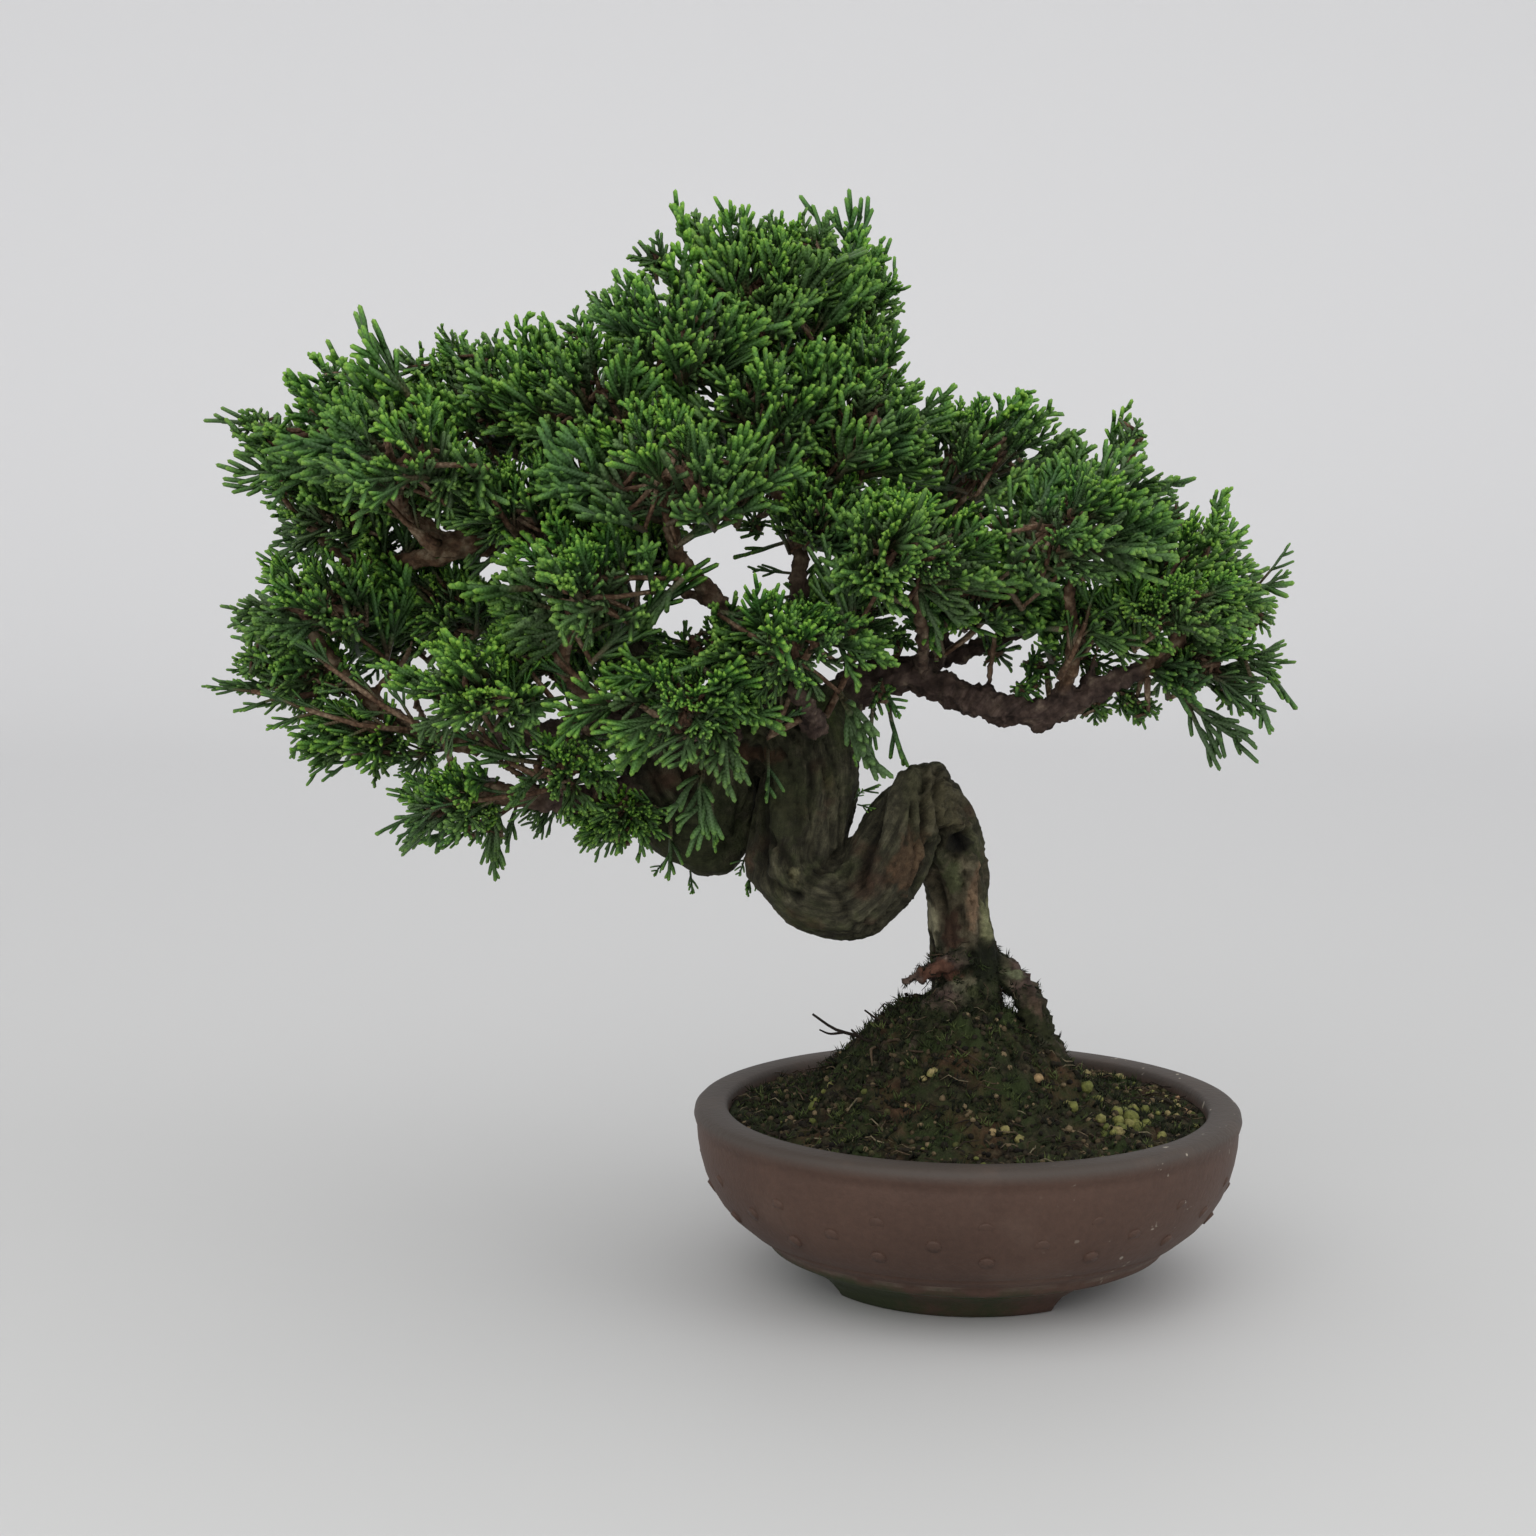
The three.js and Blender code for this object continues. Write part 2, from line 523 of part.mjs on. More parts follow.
// The inner mass of a clump: small and uneven, with a pointed tuft of shoots on each facet
function coreSolid({ at, size }, seed, grow = 0) {
  const draw = randomDraw(seed);
  const ball = new THREE.IcosahedronGeometry(1, 0).deleteAttribute("normal").deleteAttribute("uv");
  const merged = mergeVertices(ball, 1e-4);
  const corners = Array.from({ length: merged.attributes.position.count }, (_, i) =>
    new THREE.Vector3().fromBufferAttribute(merged.attributes.position, i).normalize(),
  );
  const points = [];
  const addPoint = (way, share) => points.push(
    vector(at.map((middle, axis) => middle + way.getComponent(axis) * (size[axis] * share + grow))),
  ) - 1;
  corners.forEach((way) => {
    addPoint(way, coreShare * THREE.MathUtils.lerp(lumpiness.least, lumpiness.most, draw()));
  });
  const faces = [];
  for (let i = 0; i < merged.index.count; i += 3) {
    const facet = [0, 1, 2].map((k) => merged.index.getX(i + k));
    const way = new THREE.Vector3();
    facet.forEach((corner) => way.addScaledVector(corners[corner], 0.5 + draw()));
    const tuft = addPoint(way.normalize(), THREE.MathUtils.lerp(tuftShare.least, tuftShare.most, draw()));
    facet.forEach((corner, k) => faces.push(corner, facet[(k + 1) % 3], tuft));
  }
  const core = new THREE.BufferGeometry().setFromPoints(points);
  core.setIndex(faces);
  return solidOf(core);
}

// One clump: its inner mass, the tips of its own and sprays spread evenly all round it. Its
// sprays are cut clear of every mass nearby, and its mass of those that come before it.
function clumpSolid(name, index, woodHole) {
  const { at, tips = [] } = clumps[name];
  const draw = randomDraw(1000 + 17 * index);
  const taken = [vector(twigPaths[index][1]).sub(vector(at)).normalize()];
  const sprays = [];
  const add = (direction, reach) => {
    const spray = sprayOf(name, direction, reach, draw);
    if (!spray) return;
    sprays.push(spray);
    taken.push(direction);
  };
  for (const tip of tips) add(vector(tip).sub(vector(at)).normalize(), vector(tip));
  for (let i = 0; i < attempts && sprays.length < sprayCount; i++) {
    const z = 1 - 1.75 * ((i * 0.7549) % 1); // an even spread, with few straight down
    const turn = 2 * Math.PI * ((i * 0.5698 + index * 0.17) % 1);
    const level = Math.sqrt(1 - z * z);
    const direction = new THREE.Vector3(level * Math.cos(turn), level * Math.sin(turn), z);
    if (taken.every((other) => other.angleTo(direction) > sprayAngle)) add(direction);
  }
  let core = coreSolid(clumps[name], index);
  let spread = joined(sprays);
  Object.values(clumps).forEach((other, k) => {
    if (k === index || vector(other.at).distanceTo(vector(at)) > neighbourDistance) return;
    const mass = coreSolid(other, k, clearance);
    spread = spread.subtract(mass);
    if (k < index) core = core.subtract(mass);
  });
  return core.add(spread).subtract(woodHole);
}

// Materials, in the order: pot, soil, screen, wood and foliage
const material = (color, roughness) => new THREE.MeshStandardMaterial({ color, roughness, metalness: 0 });
const stoneware = material(0x5a443c, 0.85);
const earth = material(0x2e2a1c, 1);
const plastic = material(0x1d1f1e, 0.6);
const bark = material(0x5b4434, 0.95);
const leaves = material(0x2c5c22, 0.7);

const bonsai = new THREE.Group();

function addPiece(name, solid, finish) {
  const piece = new THREE.Mesh(geometryOf(solid), finish);
  piece.name = name;
  bonsai.add(piece);
}

const wood = woodSolid();
const woodHole = woodSolid(clearance);
addPiece("pot", potSolid(), stoneware);
addPiece("drainage_screen", screenSolid(), plastic);
addPiece("soil", soilSolid().subtract(woodHole), earth);
addPiece("trunk_and_branches", wood, bark);

addRods(trunkPath, "wood");
Object.values(limbPaths).forEach((path) => addRods(path, "wood"));
twigPaths.forEach((path) => addRods(path, "wood"));
Object.keys(clumps).forEach((name, index) => {
  addPiece("foliage_" + name, clumpSolid(name, index, woodHole), leaves);
});

// The origin goes under the middle of the whole object
const middle = new THREE.Box3().setFromObject(bonsai, true).getCenter(new THREE.Vector3());
bonsai.position.set(-middle.x, -middle.y, 0);

export default bonsai;
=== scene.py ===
# A Chinese juniper bonsai in a round stoneware pot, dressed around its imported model.
# Places written as (x, y, z) in millimetres are measured from the pot's axis, at its feet.
import bpy
import bmesh
import math
import random
import numpy as np
from mathutils import Matrix, Vector, kdtree, noise


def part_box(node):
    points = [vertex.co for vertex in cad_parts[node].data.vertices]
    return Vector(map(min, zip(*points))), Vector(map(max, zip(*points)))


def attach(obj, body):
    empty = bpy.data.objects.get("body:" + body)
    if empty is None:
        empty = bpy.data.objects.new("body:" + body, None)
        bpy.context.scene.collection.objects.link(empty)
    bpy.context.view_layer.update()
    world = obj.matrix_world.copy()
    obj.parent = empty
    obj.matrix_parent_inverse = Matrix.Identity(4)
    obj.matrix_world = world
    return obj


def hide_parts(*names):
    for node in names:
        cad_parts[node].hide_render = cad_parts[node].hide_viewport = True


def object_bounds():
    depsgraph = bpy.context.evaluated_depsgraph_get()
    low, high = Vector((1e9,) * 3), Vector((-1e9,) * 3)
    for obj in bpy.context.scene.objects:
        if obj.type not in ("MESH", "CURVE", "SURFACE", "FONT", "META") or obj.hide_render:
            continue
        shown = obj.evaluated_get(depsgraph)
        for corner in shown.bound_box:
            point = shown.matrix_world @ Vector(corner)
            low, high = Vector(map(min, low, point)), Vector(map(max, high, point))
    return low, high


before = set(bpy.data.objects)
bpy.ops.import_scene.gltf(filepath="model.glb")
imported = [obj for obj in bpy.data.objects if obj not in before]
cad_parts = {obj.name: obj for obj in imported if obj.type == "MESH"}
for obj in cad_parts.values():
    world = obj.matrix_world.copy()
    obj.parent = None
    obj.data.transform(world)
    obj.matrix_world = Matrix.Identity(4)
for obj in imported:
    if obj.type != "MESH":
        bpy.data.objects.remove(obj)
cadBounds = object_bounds()
mm = 0.001
potLow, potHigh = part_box("pot")
potAxis = Vector(((potLow[0] + potHigh[0]) / 2, (potLow[1] + potHigh[1]) / 2, 0))
up = Vector((0, 0, 1))


def place(x, y, z):
    return potAxis + Vector((x, y, z)) * mm


def towards(degrees):  # a level direction, turned from the front towards the right
    a = math.radians(degrees)
    return Vector((math.sin(a), -math.cos(a), 0))


def smoothStep(low, high, value):
    t = np.clip((value - low) / (high - low), 0, 1)
    return t * t * (3 - 2 * t)


# Camera, light and floor

view = {"eye": (-57.9, -745, 229.6), "down": 6.2, "lens": 60.94}


def newObject(name, data):
    item = bpy.data.objects.new(name, data)
    bpy.context.collection.objects.link(item)
    return item


def setCamera():
    data = bpy.data.cameras.new("camera")
    data.sensor_width = 36
    data.lens = view["lens"]
    data.clip_start = 0.01
    camera = newObject("camera", data)
    camera.location = place(*view["eye"])
    camera.rotation_euler = (math.radians(90 - view["down"]), 0, 0)
    bpy.context.scene.camera = camera


studio = {
    "lights": [  # name, place, size, watts and colour
        ("skyLight", (-60, -120, 1150), 2.0, 4.6, (0.98, 0.99, 1)),
        ("frontLight", (-500, -1150, 700), 1.3, 6, (1, 0.99, 0.97)),
        ("rightLight", (950, -500, 650), 0.9, 2.5, (1, 1, 1)),
    ],
    "world": (0.87, 0.87, 0.88),
    "worldStrength": 0.92,
    "floorSize": 8.0,
    "wallAway": 1.5,
    "wallBend": 0.9,
    "wallHeight": 3,
    "floorEnd": 0.15,  # where the floor's colour starts to turn into the wall's
    "aim": (-60, 0, 130),
    "floorColour": (0.545, 0.545, 0.54),
    "wallColour": (0.83, 0.83, 0.835),
}


def setLights():
    for name, spot, size, watts, colour in studio["lights"]:
        data = bpy.data.lights.new(name, "AREA")
        data.shape = "DISK"
        data.size = size
        data.energy = watts
        data.color = colour
        light = newObject(name, data)
        light.location = place(*spot)
        aim = place(*studio["aim"]) - light.location
        light.rotation_euler = aim.to_track_quat("-Z", "Y").to_euler()
    world = bpy.data.worlds.new("studioWorld")
    world.use_nodes = True
    background = world.node_tree.nodes["Background"]
    background.inputs["Color"].default_value = (*studio["world"], 1)
    background.inputs["Strength"].default_value = studio["worldStrength"]
    bpy.context.scene.world = world
    settings = bpy.context.scene.view_settings
    settings.view_transform = "Standard"
    settings.look = "None"


def newMaterial(name, roughness, specular=0.5, colour=(0.5, 0.5, 0.5)):
    material = bpy.data.materials.new(name)
    material.use_nodes = True
    shader = material.node_tree.nodes["Principled BSDF"]
    feed(material.node_tree, shader.inputs["Roughness"], roughness)
    feed(material.node_tree, shader.inputs["Specular IOR Level"], specular)
    feed(material.node_tree, shader.inputs["Base Color"], colour)
    return material, material.node_tree, shader


def meshOf(name, bm):
    mesh = bpy.data.meshes.new(name)
    bm.to_mesh(mesh)
    bm.free()
    mesh.polygons.foreach_set("use_smooth", [True] * len(mesh.polygons))
    return mesh


def absorb(bm, mesh):
    bm.from_mesh(mesh)
    bpy.data.meshes.remove(mesh)


def finishObject(name, bm, *materials):
    mesh = meshOf(name, bm)
    for material in materials:
        mesh.materials.append(material)
    return newObject(name, mesh)


def setFloor():
    bm = bmesh.new()
    half = studio["floorSize"] / 2
    bend = studio["wallBend"]
    back = potAxis.y + studio["wallAway"]
    start = bm.verts.new((-half, -half, 0))
    corner = bm.verts.new((-half, back, 0))
    bm.edges.new((start, corner))
    spun = bmesh.ops.spin(
        bm, geom=[corner], cent=(-half, back, bend), axis=(1, 0, 0), angle=math.pi / 2, steps=16,
    )
    top = newOf(spun["geom_last"], bmesh.types.BMVert)[0]
    high = bm.verts.new((-half, back + bend, studio["wallHeight"]))
    bm.edges.new((top, high))
    swept = bmesh.ops.extrude_edge_only(bm, edges=bm.edges[:])["geom"]
    bmesh.ops.translate(bm, vec=(2 * half, 0, 0), verts=newOf(swept, bmesh.types.BMVert))
    material, tree, shader = newMaterial("floorPaint", 0.6)
    away = greys(tree, parted(tree, objectSpot(tree))["Y"], studio["floorEnd"], back + bend)
    feed(tree, shader.inputs["Base Color"], mixed(tree, away, studio["floorColour"], studio["wallColour"]))
    floor = finishObject("floor", bm, material)


# Shared mesh tools

def standing(spot, way):  # takes what stands upright at the origin to a spot, along a way
    return Matrix.Translation(spot) @ up.rotation_difference(way).to_matrix().to_4x4()


def scatter(draw, reach):
    return Vector([draw.uniform(-reach, reach) for _ in range(3)])


def anyTurn(draw):
    return draw.uniform(0, 6.28)


def newOf(geom, kind):
    return [item for item in geom if isinstance(item, kind)]


def turnedRings(points, radii):
    # where each ring of a tube lies, with no twist from one to the next
    places = []
    heading = turn = None
    for i, point in enumerate(points):
        tangent = (points[min(i + 1, len(points) - 1)] - points[max(i - 1, 0)]).normalized()
        turn = heading.rotation_difference(tangent) @ turn if i else up.rotation_difference(tangent)
        heading = tangent
        places.append(Matrix.Translation(point) @ turn.to_matrix().to_4x4() @ Matrix.Scale(radii[i], 4))
    return places


def sweep(bm, points, radii, sides, uvLayer=None, rounded=False):
    # a ring extruded from point to point, closed at both ends. The UV map holds the way round
    # and the distance back from the tip in centimetres.
    places = turnedRings(points, radii)
    ring = bmesh.ops.create_circle(bm, cap_ends=True, radius=1, segments=sides, matrix=places[0])
    ring = ring["verts"]
    order = {v: k for k, v in enumerate(ring)}
    edges = list({e for v in ring for e in v.link_edges})
    tipEnd = radii[-1] * 0.8 if rounded else 0.0
    back = [0.0]
    for a, b in zip(reversed(points[:-1]), reversed(points[1:])):
        back.append(back[-1] + (b - a).length)
    back.reverse()
    for i in range(1, len(points)):
        geom = bmesh.ops.extrude_edge_only(bm, edges=edges)["geom"]
        fresh = newOf(geom, bmesh.types.BMVert)
        pairs = [(v, e.other_vert(v)) for v in fresh for e in v.link_edges]
        nextOrder = {v: order[old] for v, old in pairs if old in order}
        bmesh.ops.transform(bm, matrix=places[i] @ places[i - 1].inverted(), verts=fresh)
        if uvLayer:
            for face in newOf(geom, bmesh.types.BMFace):
                seam = {order.get(v, nextOrder.get(v)) for v in face.verts} == {0, sides - 1}
                for loop in face.loops:
                    k = order.get(loop.vert, nextOrder.get(loop.vert))
                    k = sides if seam and k == 0 else k
                    away = back[i] if loop.vert in nextOrder else back[i - 1]
                    loop[uvLayer].uv = (k / sides, (away + tipEnd) * 100)
        order = nextOrder
        edges = [e for e in newOf(geom, bmesh.types.BMEdge) if all(v in order for v in e.verts)]
    cap = bmesh.ops.edgeloop_fill(bm, edges=edges)["faces"]
    if rounded:
        end = bmesh.ops.poke(bm, faces=cap)
        end["verts"][0].co = points[-1] + (points[-1] - points[-2]).normalized() * tipEnd
        cap = end["faces"]
    if uvLayer:
        for face in cap:
            for loop in face.loops:
                loop[uvLayer].uv = (0.5, tipEnd * 100 if loop.vert in order else 0)


def alongCurve(points, count):
    # points spread evenly along a smooth curve through the given ones, of any number of values
    spots = np.array(points, float)
    ends = np.vstack([2 * spots[0] - spots[1], spots, 2 * spots[-1] - spots[-2]])
    fine = []
    for k in range(len(spots) - 1):
        a, b, c, d = ends[k:k + 4]
        for t in np.linspace(0, 1, 24, endpoint=False):
            fine.append(0.5 * (2 * b + (c - a) * t + (2 * a - 5 * b + 4 * c - d) * t**2
                               + (3 * b - a - 3 * c + d) * t**3))
    fine = np.array(fine + [spots[-1]])
    steps = np.linalg.norm(np.diff(fine[:, :3], axis=0), axis=1)
    run = np.concatenate([[0], np.cumsum(steps)])
    wanted = np.linspace(0, run[-1], count)
    return np.array([np.interp(wanted, run, fine[:, i]) for i in range(fine.shape[1])]).T, wanted


# Shader groups

def newGroup(name, inputs, outputs):
    group = bpy.data.node_groups.new(name, "ShaderNodeTree")
    for label, kind, value in inputs:
        socket = group.interface.new_socket(label, in_out="INPUT", socket_type=kind)
        if value is not None:
            socket.default_value = value
    for label, kind in outputs:
        group.interface.new_socket(label, in_out="OUTPUT", socket_type=kind)
    return group, group.nodes.new("NodeGroupInput"), group.nodes.new("NodeGroupOutput")


def feed(tree, socket, value):  # a link from another socket, or a plain value
    if isinstance(value, bpy.types.NodeSocket):
        tree.links.new(value, socket)
    elif socket.type == "RGBA":
        socket.default_value = (*value, 1)
    else:
        socket.default_value = value


def addNode(tree, kind, settings=None, **inputs):
    node = tree.nodes.new("ShaderNode" + kind)
    for key, value in (settings or {}).items():
        setattr(node, key, value)
    for key, value in inputs.items():
        feed(tree, node.inputs[key.replace("_", " ")], value)
    return node


def calc(tree, operation, *values, clamp=False):
    node = addNode(tree, "Math", {"operation": operation, "use_clamp": clamp})
    for socket, value in zip(node.inputs, values):
        feed(tree, socket, value)
    return node.outputs[0]


def objectSpot(tree):
    return addNode(tree, "TexCoord").outputs["Object"]


def parted(tree, vector):
    return addNode(tree, "SeparateXYZ", Vector=vector).outputs


def uvParts(tree, layer):
    return parted(tree, addNode(tree, "UVMap", {"uv_map": layer}).outputs["UV"])


def ramp(tree, factor, stops):
    node = tree.nodes.new("ShaderNodeValToRGB")
    elements = node.color_ramp.elements
    while len(elements) < len(stops):
        elements.new(0.5)
    for element, (position, colour) in zip(elements, stops):
        element.position = position
        element.color = (*colour, 1)
    tree.links.new(factor, node.inputs["Fac"])
    return node.outputs["Color"]


def greys(tree, factor, low, high):
    return addNode(tree, "MapRange", Value=factor, From_Min=low, From_Max=high).outputs["Result"]


def mixed(tree, factor, a, b, blend="MIX"):
    node = addNode(tree, "Mix", {"data_type": "RGBA", "blend_type": blend})
    for index, value in ((0, factor), (6, a), (7, b)):  # the sockets of a colour mix
        feed(tree, node.inputs[index], value)
    return node.outputs[2]


def tinted(tree, colour, tint):
    return mixed(tree, 1.0, colour, tint, "MULTIPLY")


def cover(tree, shader, colour, height, strength, distance, invert=False):
    bump = addNode(tree, "Bump", {"invert": invert}, Height=height, Strength=strength, Distance=distance)
    feed(tree, shader.inputs["Base Color"], colour)
    feed(tree, shader.inputs["Normal"], bump.outputs["Normal"])


def cloudAt(tree, vector, scale, detail, roughness):
    return addNode(tree, "TexNoise", Vector=vector, Scale=scale, Detail=detail,
                   Roughness=roughness).outputs["Fac"]


def buildMottle():  # a patchy mask, from 0 where the noise is under From to 1 where it is over To
    group, start, end = newGroup("mottle", [
        ("Vector", "NodeSocketVector", None), ("Scale", "NodeSocketFloat", 50.0),
        ("Detail", "NodeSocketFloat", 3.0), ("From", "NodeSocketFloat", 0.4), ("To", "NodeSocketFloat", 0.6),
    ], [("Mask", "NodeSocketFloat")])
    given = start.outputs
    cloud = cloudAt(group, given["Vector"], given["Scale"], given["Detail"], 0.6)
    feed(group, end.inputs["Mask"], greys(group, cloud, given["From"], given["To"]))
    return group


def buildMossVeil():  # moss or algae that settles in patches, where Amount lets it
    group, start, end = newGroup("mossVeil", [
        ("Vector", "NodeSocketVector", None), ("Colour", "NodeSocketColor", (0.1, 0.1, 0.1, 1)),
        ("Moss", "NodeSocketColor", (0.04, 0.06, 0.015, 1)), ("Scale", "NodeSocketFloat", 60.0),
        ("Amount", "NodeSocketFloat", 1.0),
    ], [("Colour", "NodeSocketColor")])
    given = start.outputs
    cloud = cloudAt(group, given["Vector"], given["Scale"], 6.0, 0.68)
    over = calc(group, "SUBTRACT", cloud, calc(group, "SUBTRACT", 0.8, given["Amount"]))
    mask = calc(group, "MULTIPLY", over, 5.0, clamp=True)
    feed(group, end.inputs["Colour"], mixed(group, mask, given["Colour"], given["Moss"]))
    return group


mottleGroup = buildMottle()
mossGroup = buildMossVeil()


def grouped(tree, group, **inputs):
    node = addNode(tree, "Group", {"node_tree": group}, **inputs)
    return node.outputs[0]


def mottle(tree, vector, scale, low, high, detail=3.0):
    return grouped(tree, mottleGroup, Vector=vector, Scale=scale, Detail=detail, From=low, To=high)


def mossVeil(tree, vector, colour, moss, scale, amount):
    return grouped(tree, mossGroup, Vector=vector, Colour=colour, Moss=moss, Scale=scale, Amount=amount)


setCamera()
setLights()
setFloor()
print("camera, lights and floor are set")


# The juniper's shoots

shoots = {  # lengths in mm and angles in degrees; first and reach are shares of the spray's length
    "radius": 0.84,
    "shortest": 4.4,  # a shoot under this has no bend
    "tufted": {
        "seed": 100, "variants": 9, "length": 20.0, "first": 0.22, "every": 2.2, "angle": 40,
        "reach": 0.6, "least": 3.4,
        "twigEvery": 2.3, "twigLength": (2.6, 4.2), "twigTurn": 0.8,
    },
    "slender": {
        "seed": 200, "variants": 9, "length": 22.0, "first": 0.1, "every": 2.8, "angle": 32,
        "reach": 0.8, "least": 5.0,
        "twigEvery": 5.0, "twigLength": (4.5, 7.5), "twigTurn": 0.55,
    },
    "inner": {
        "seed": 300, "variants": 5, "length": 15.0, "first": 0.2, "every": 2.3, "angle": 42,
        "reach": 0.6, "least": 3.2,
    },
    "bare": {
        "seed": 400, "variants": 4, "length": 24.0, "first": 0.34, "every": 3.6, "angle": 27,
        "reach": 0.5, "least": 3.4,
    },
}


def addShoot(bm, uvLayer, start, heading, side, length, radius):
    # one shoot, a little curved, with a rounded tip
    tip = start + heading * length + side * 0.2 * length
    last = tip - (heading + side * 0.35).normalized() * 0.8 * radius
    if length < shoots["shortest"] * mm:
        sweep(bm, [start, last], [radius * 0.95, radius * 0.88], 3, uvLayer, rounded=True)
    else:
        bend = start + heading * length * 0.55 + side * 0.05 * length
        sweep(bm, [start, bend, last], [radius * 0.9, radius, radius * 0.84], 3, uvLayer, rounded=True)


def growSpray(kind, seed):
    # one spray: a leading shoot with side shoots left and right, and smaller ones on those
    form = shoots[kind]
    draw = random.Random(seed)
    bm = bmesh.new()
    uvLayer = bm.loops.layers.uv.new("shoot")
    length = form["length"] * mm
    radius = shoots["radius"] * mm
    lean = draw.uniform(-0.2, 0.2)
    sway = draw.uniform(-0.16, 0.16)

    def spotAt(share):
        return Vector((lean * length * share * share, sway * length * share * share, length * share))

    stem, corners = ((0, 0.96), 3) if kind == "inner" else ((0, 0.4, 0.75, 0.965), 4)
    radii = [radius * (1 - 0.15 * share**3) for share in stem]
    sweep(bm, [spotAt(share) for share in stem], radii, corners, uvLayer, rounded=True)
    side = 1
    run = form["first"] * length
    while run < 0.93 * length:
        start = spotAt(run / length)
        tilt = draw.uniform(-0.7, 0.7)
        angle = math.radians(form["angle"] + draw.uniform(-9, 9))
        out = Vector((side * math.cos(tilt), math.sin(tilt), 0))
        heading = up * math.cos(angle) + out * math.sin(angle)
        reach = (length - run) * form["reach"] * draw.uniform(0.75, 1.15) + 1.2 * mm
        reach = max(form["least"] * mm, reach)
        addShoot(bm, uvLayer, start, heading, up, reach, radius * 1.05)
        twig = -1 if draw.random() < 0.5 else 1
        step = draw.uniform(1.6, 2.6) * mm
        while "twigEvery" in form and step < reach - 1.4 * mm:
            begin = start + heading * step + up * 0.2 * reach * (step / reach) ** 2
            other = heading.cross(out.cross(heading)).normalized()
            turned = Matrix.Rotation(draw.uniform(-0.9, 0.9), 3, heading) @ other
            way = heading + turned * twig * form["twigTurn"] * draw.uniform(0.8, 1.25) + up * 0.2
            twigLength = draw.uniform(*form["twigLength"]) * mm
            addShoot(bm, uvLayer, begin, way.normalized(), up, twigLength, radius)
            twig = -twig
            step += form["twigEvery"] * mm * draw.uniform(0.85, 1.15)
        side = -side
        run += form["every"] * mm * draw.uniform(0.85, 1.15)
    bmesh.ops.recalc_face_normals(bm, faces=bm.faces[:])
    mesh = meshOf(f"spray{seed}", bm)
    mesh.uv_layers.new(name="tone").active = False
    mesh.uv_layers["shoot"].active_render = True
    return mesh


def leafMaterial():
    # the tone layer holds painted light, how lit the spray stands, higher towards a clump's top and low
    # below and inside; and how fresh its tips are
    material, tree, shader = newMaterial("scaleLeaf", 0.5, 0.28)
    shoot, tone = uvParts(tree, "shoot"), uvParts(tree, "tone")
    fresh = ramp(tree, shoot["Y"], [
        (0.0, (0.28, 0.49, 0.05)), (0.13, (0.15, 0.36, 0.034)), (0.3, (0.072, 0.2, 0.028)),
        (0.7, (0.047, 0.122, 0.026)), (1.0, (0.047, 0.1, 0.028)),
    ])
    old = ramp(tree, shoot["Y"], [
        (0.0, (0.11, 0.255, 0.036)), (0.2, (0.062, 0.16, 0.034)), (0.6, (0.05, 0.112, 0.036)),
    ])
    woody = greys(tree, shoot["Y"], 1.35, 1.9)
    colour = mixed(tree, woody, mixed(tree, tone["Y"], old, fresh), (0.13, 0.085, 0.05))
    bluish = mottle(tree, objectSpot(tree), 34.0, 0.42, 0.66, 2.0)
    colour = mixed(tree, bluish, colour, tinted(tree, colour, (0.84, 0.93, 1.1)))
    # painted light: a spray low in tone, below or inside a clump, is mixed halfway to a grey green, which
    # dims its bright tips and lifts its dark body
    colour = mixed(tree, tone["X"], mixed(tree, 0.5, colour, (0.115, 0.14, 0.075)), colour)
    # scale leaves in pairs, each pair turned a quarter against the last
    around = calc(tree, "SINE", calc(tree, "MULTIPLY", shoot["X"], 4 * math.pi))
    along = calc(tree, "SINE", calc(tree, "MULTIPLY", shoot["Y"], 52.0))
    scale = greys(tree, calc(tree, "MULTIPLY", around, along), -0.7, 0.7)
    colour = mixed(tree, scale, tinted(tree, colour, (0.72, 0.75, 0.7)), colour)
    cover(tree, shader, colour, scale, 0.45, 0.0003)
    return material


def barkOfTwigs():
    material, tree, shader = newMaterial("twigBark", 0.8, 0.25)
    spot = objectSpot(tree)
    flakes = addNode(tree, "TexVoronoi", Vector=spot, Scale=900.0).outputs["Distance"]
    colour = ramp(tree, mottle(tree, spot, 120.0, 0.25, 0.75), [
        (0.1, (0.07, 0.037, 0.022)), (0.5, (0.165, 0.098, 0.058)), (0.85, (0.31, 0.24, 0.16)),
    ])
    colour = mixed(tree, greys(tree, flakes, 0.2, 0.7), colour, tinted(tree, colour, (0.45, 0.4, 0.38)))
    cover(tree, shader, colour, flakes, 0.6, 0.0004, invert=True)
    return material


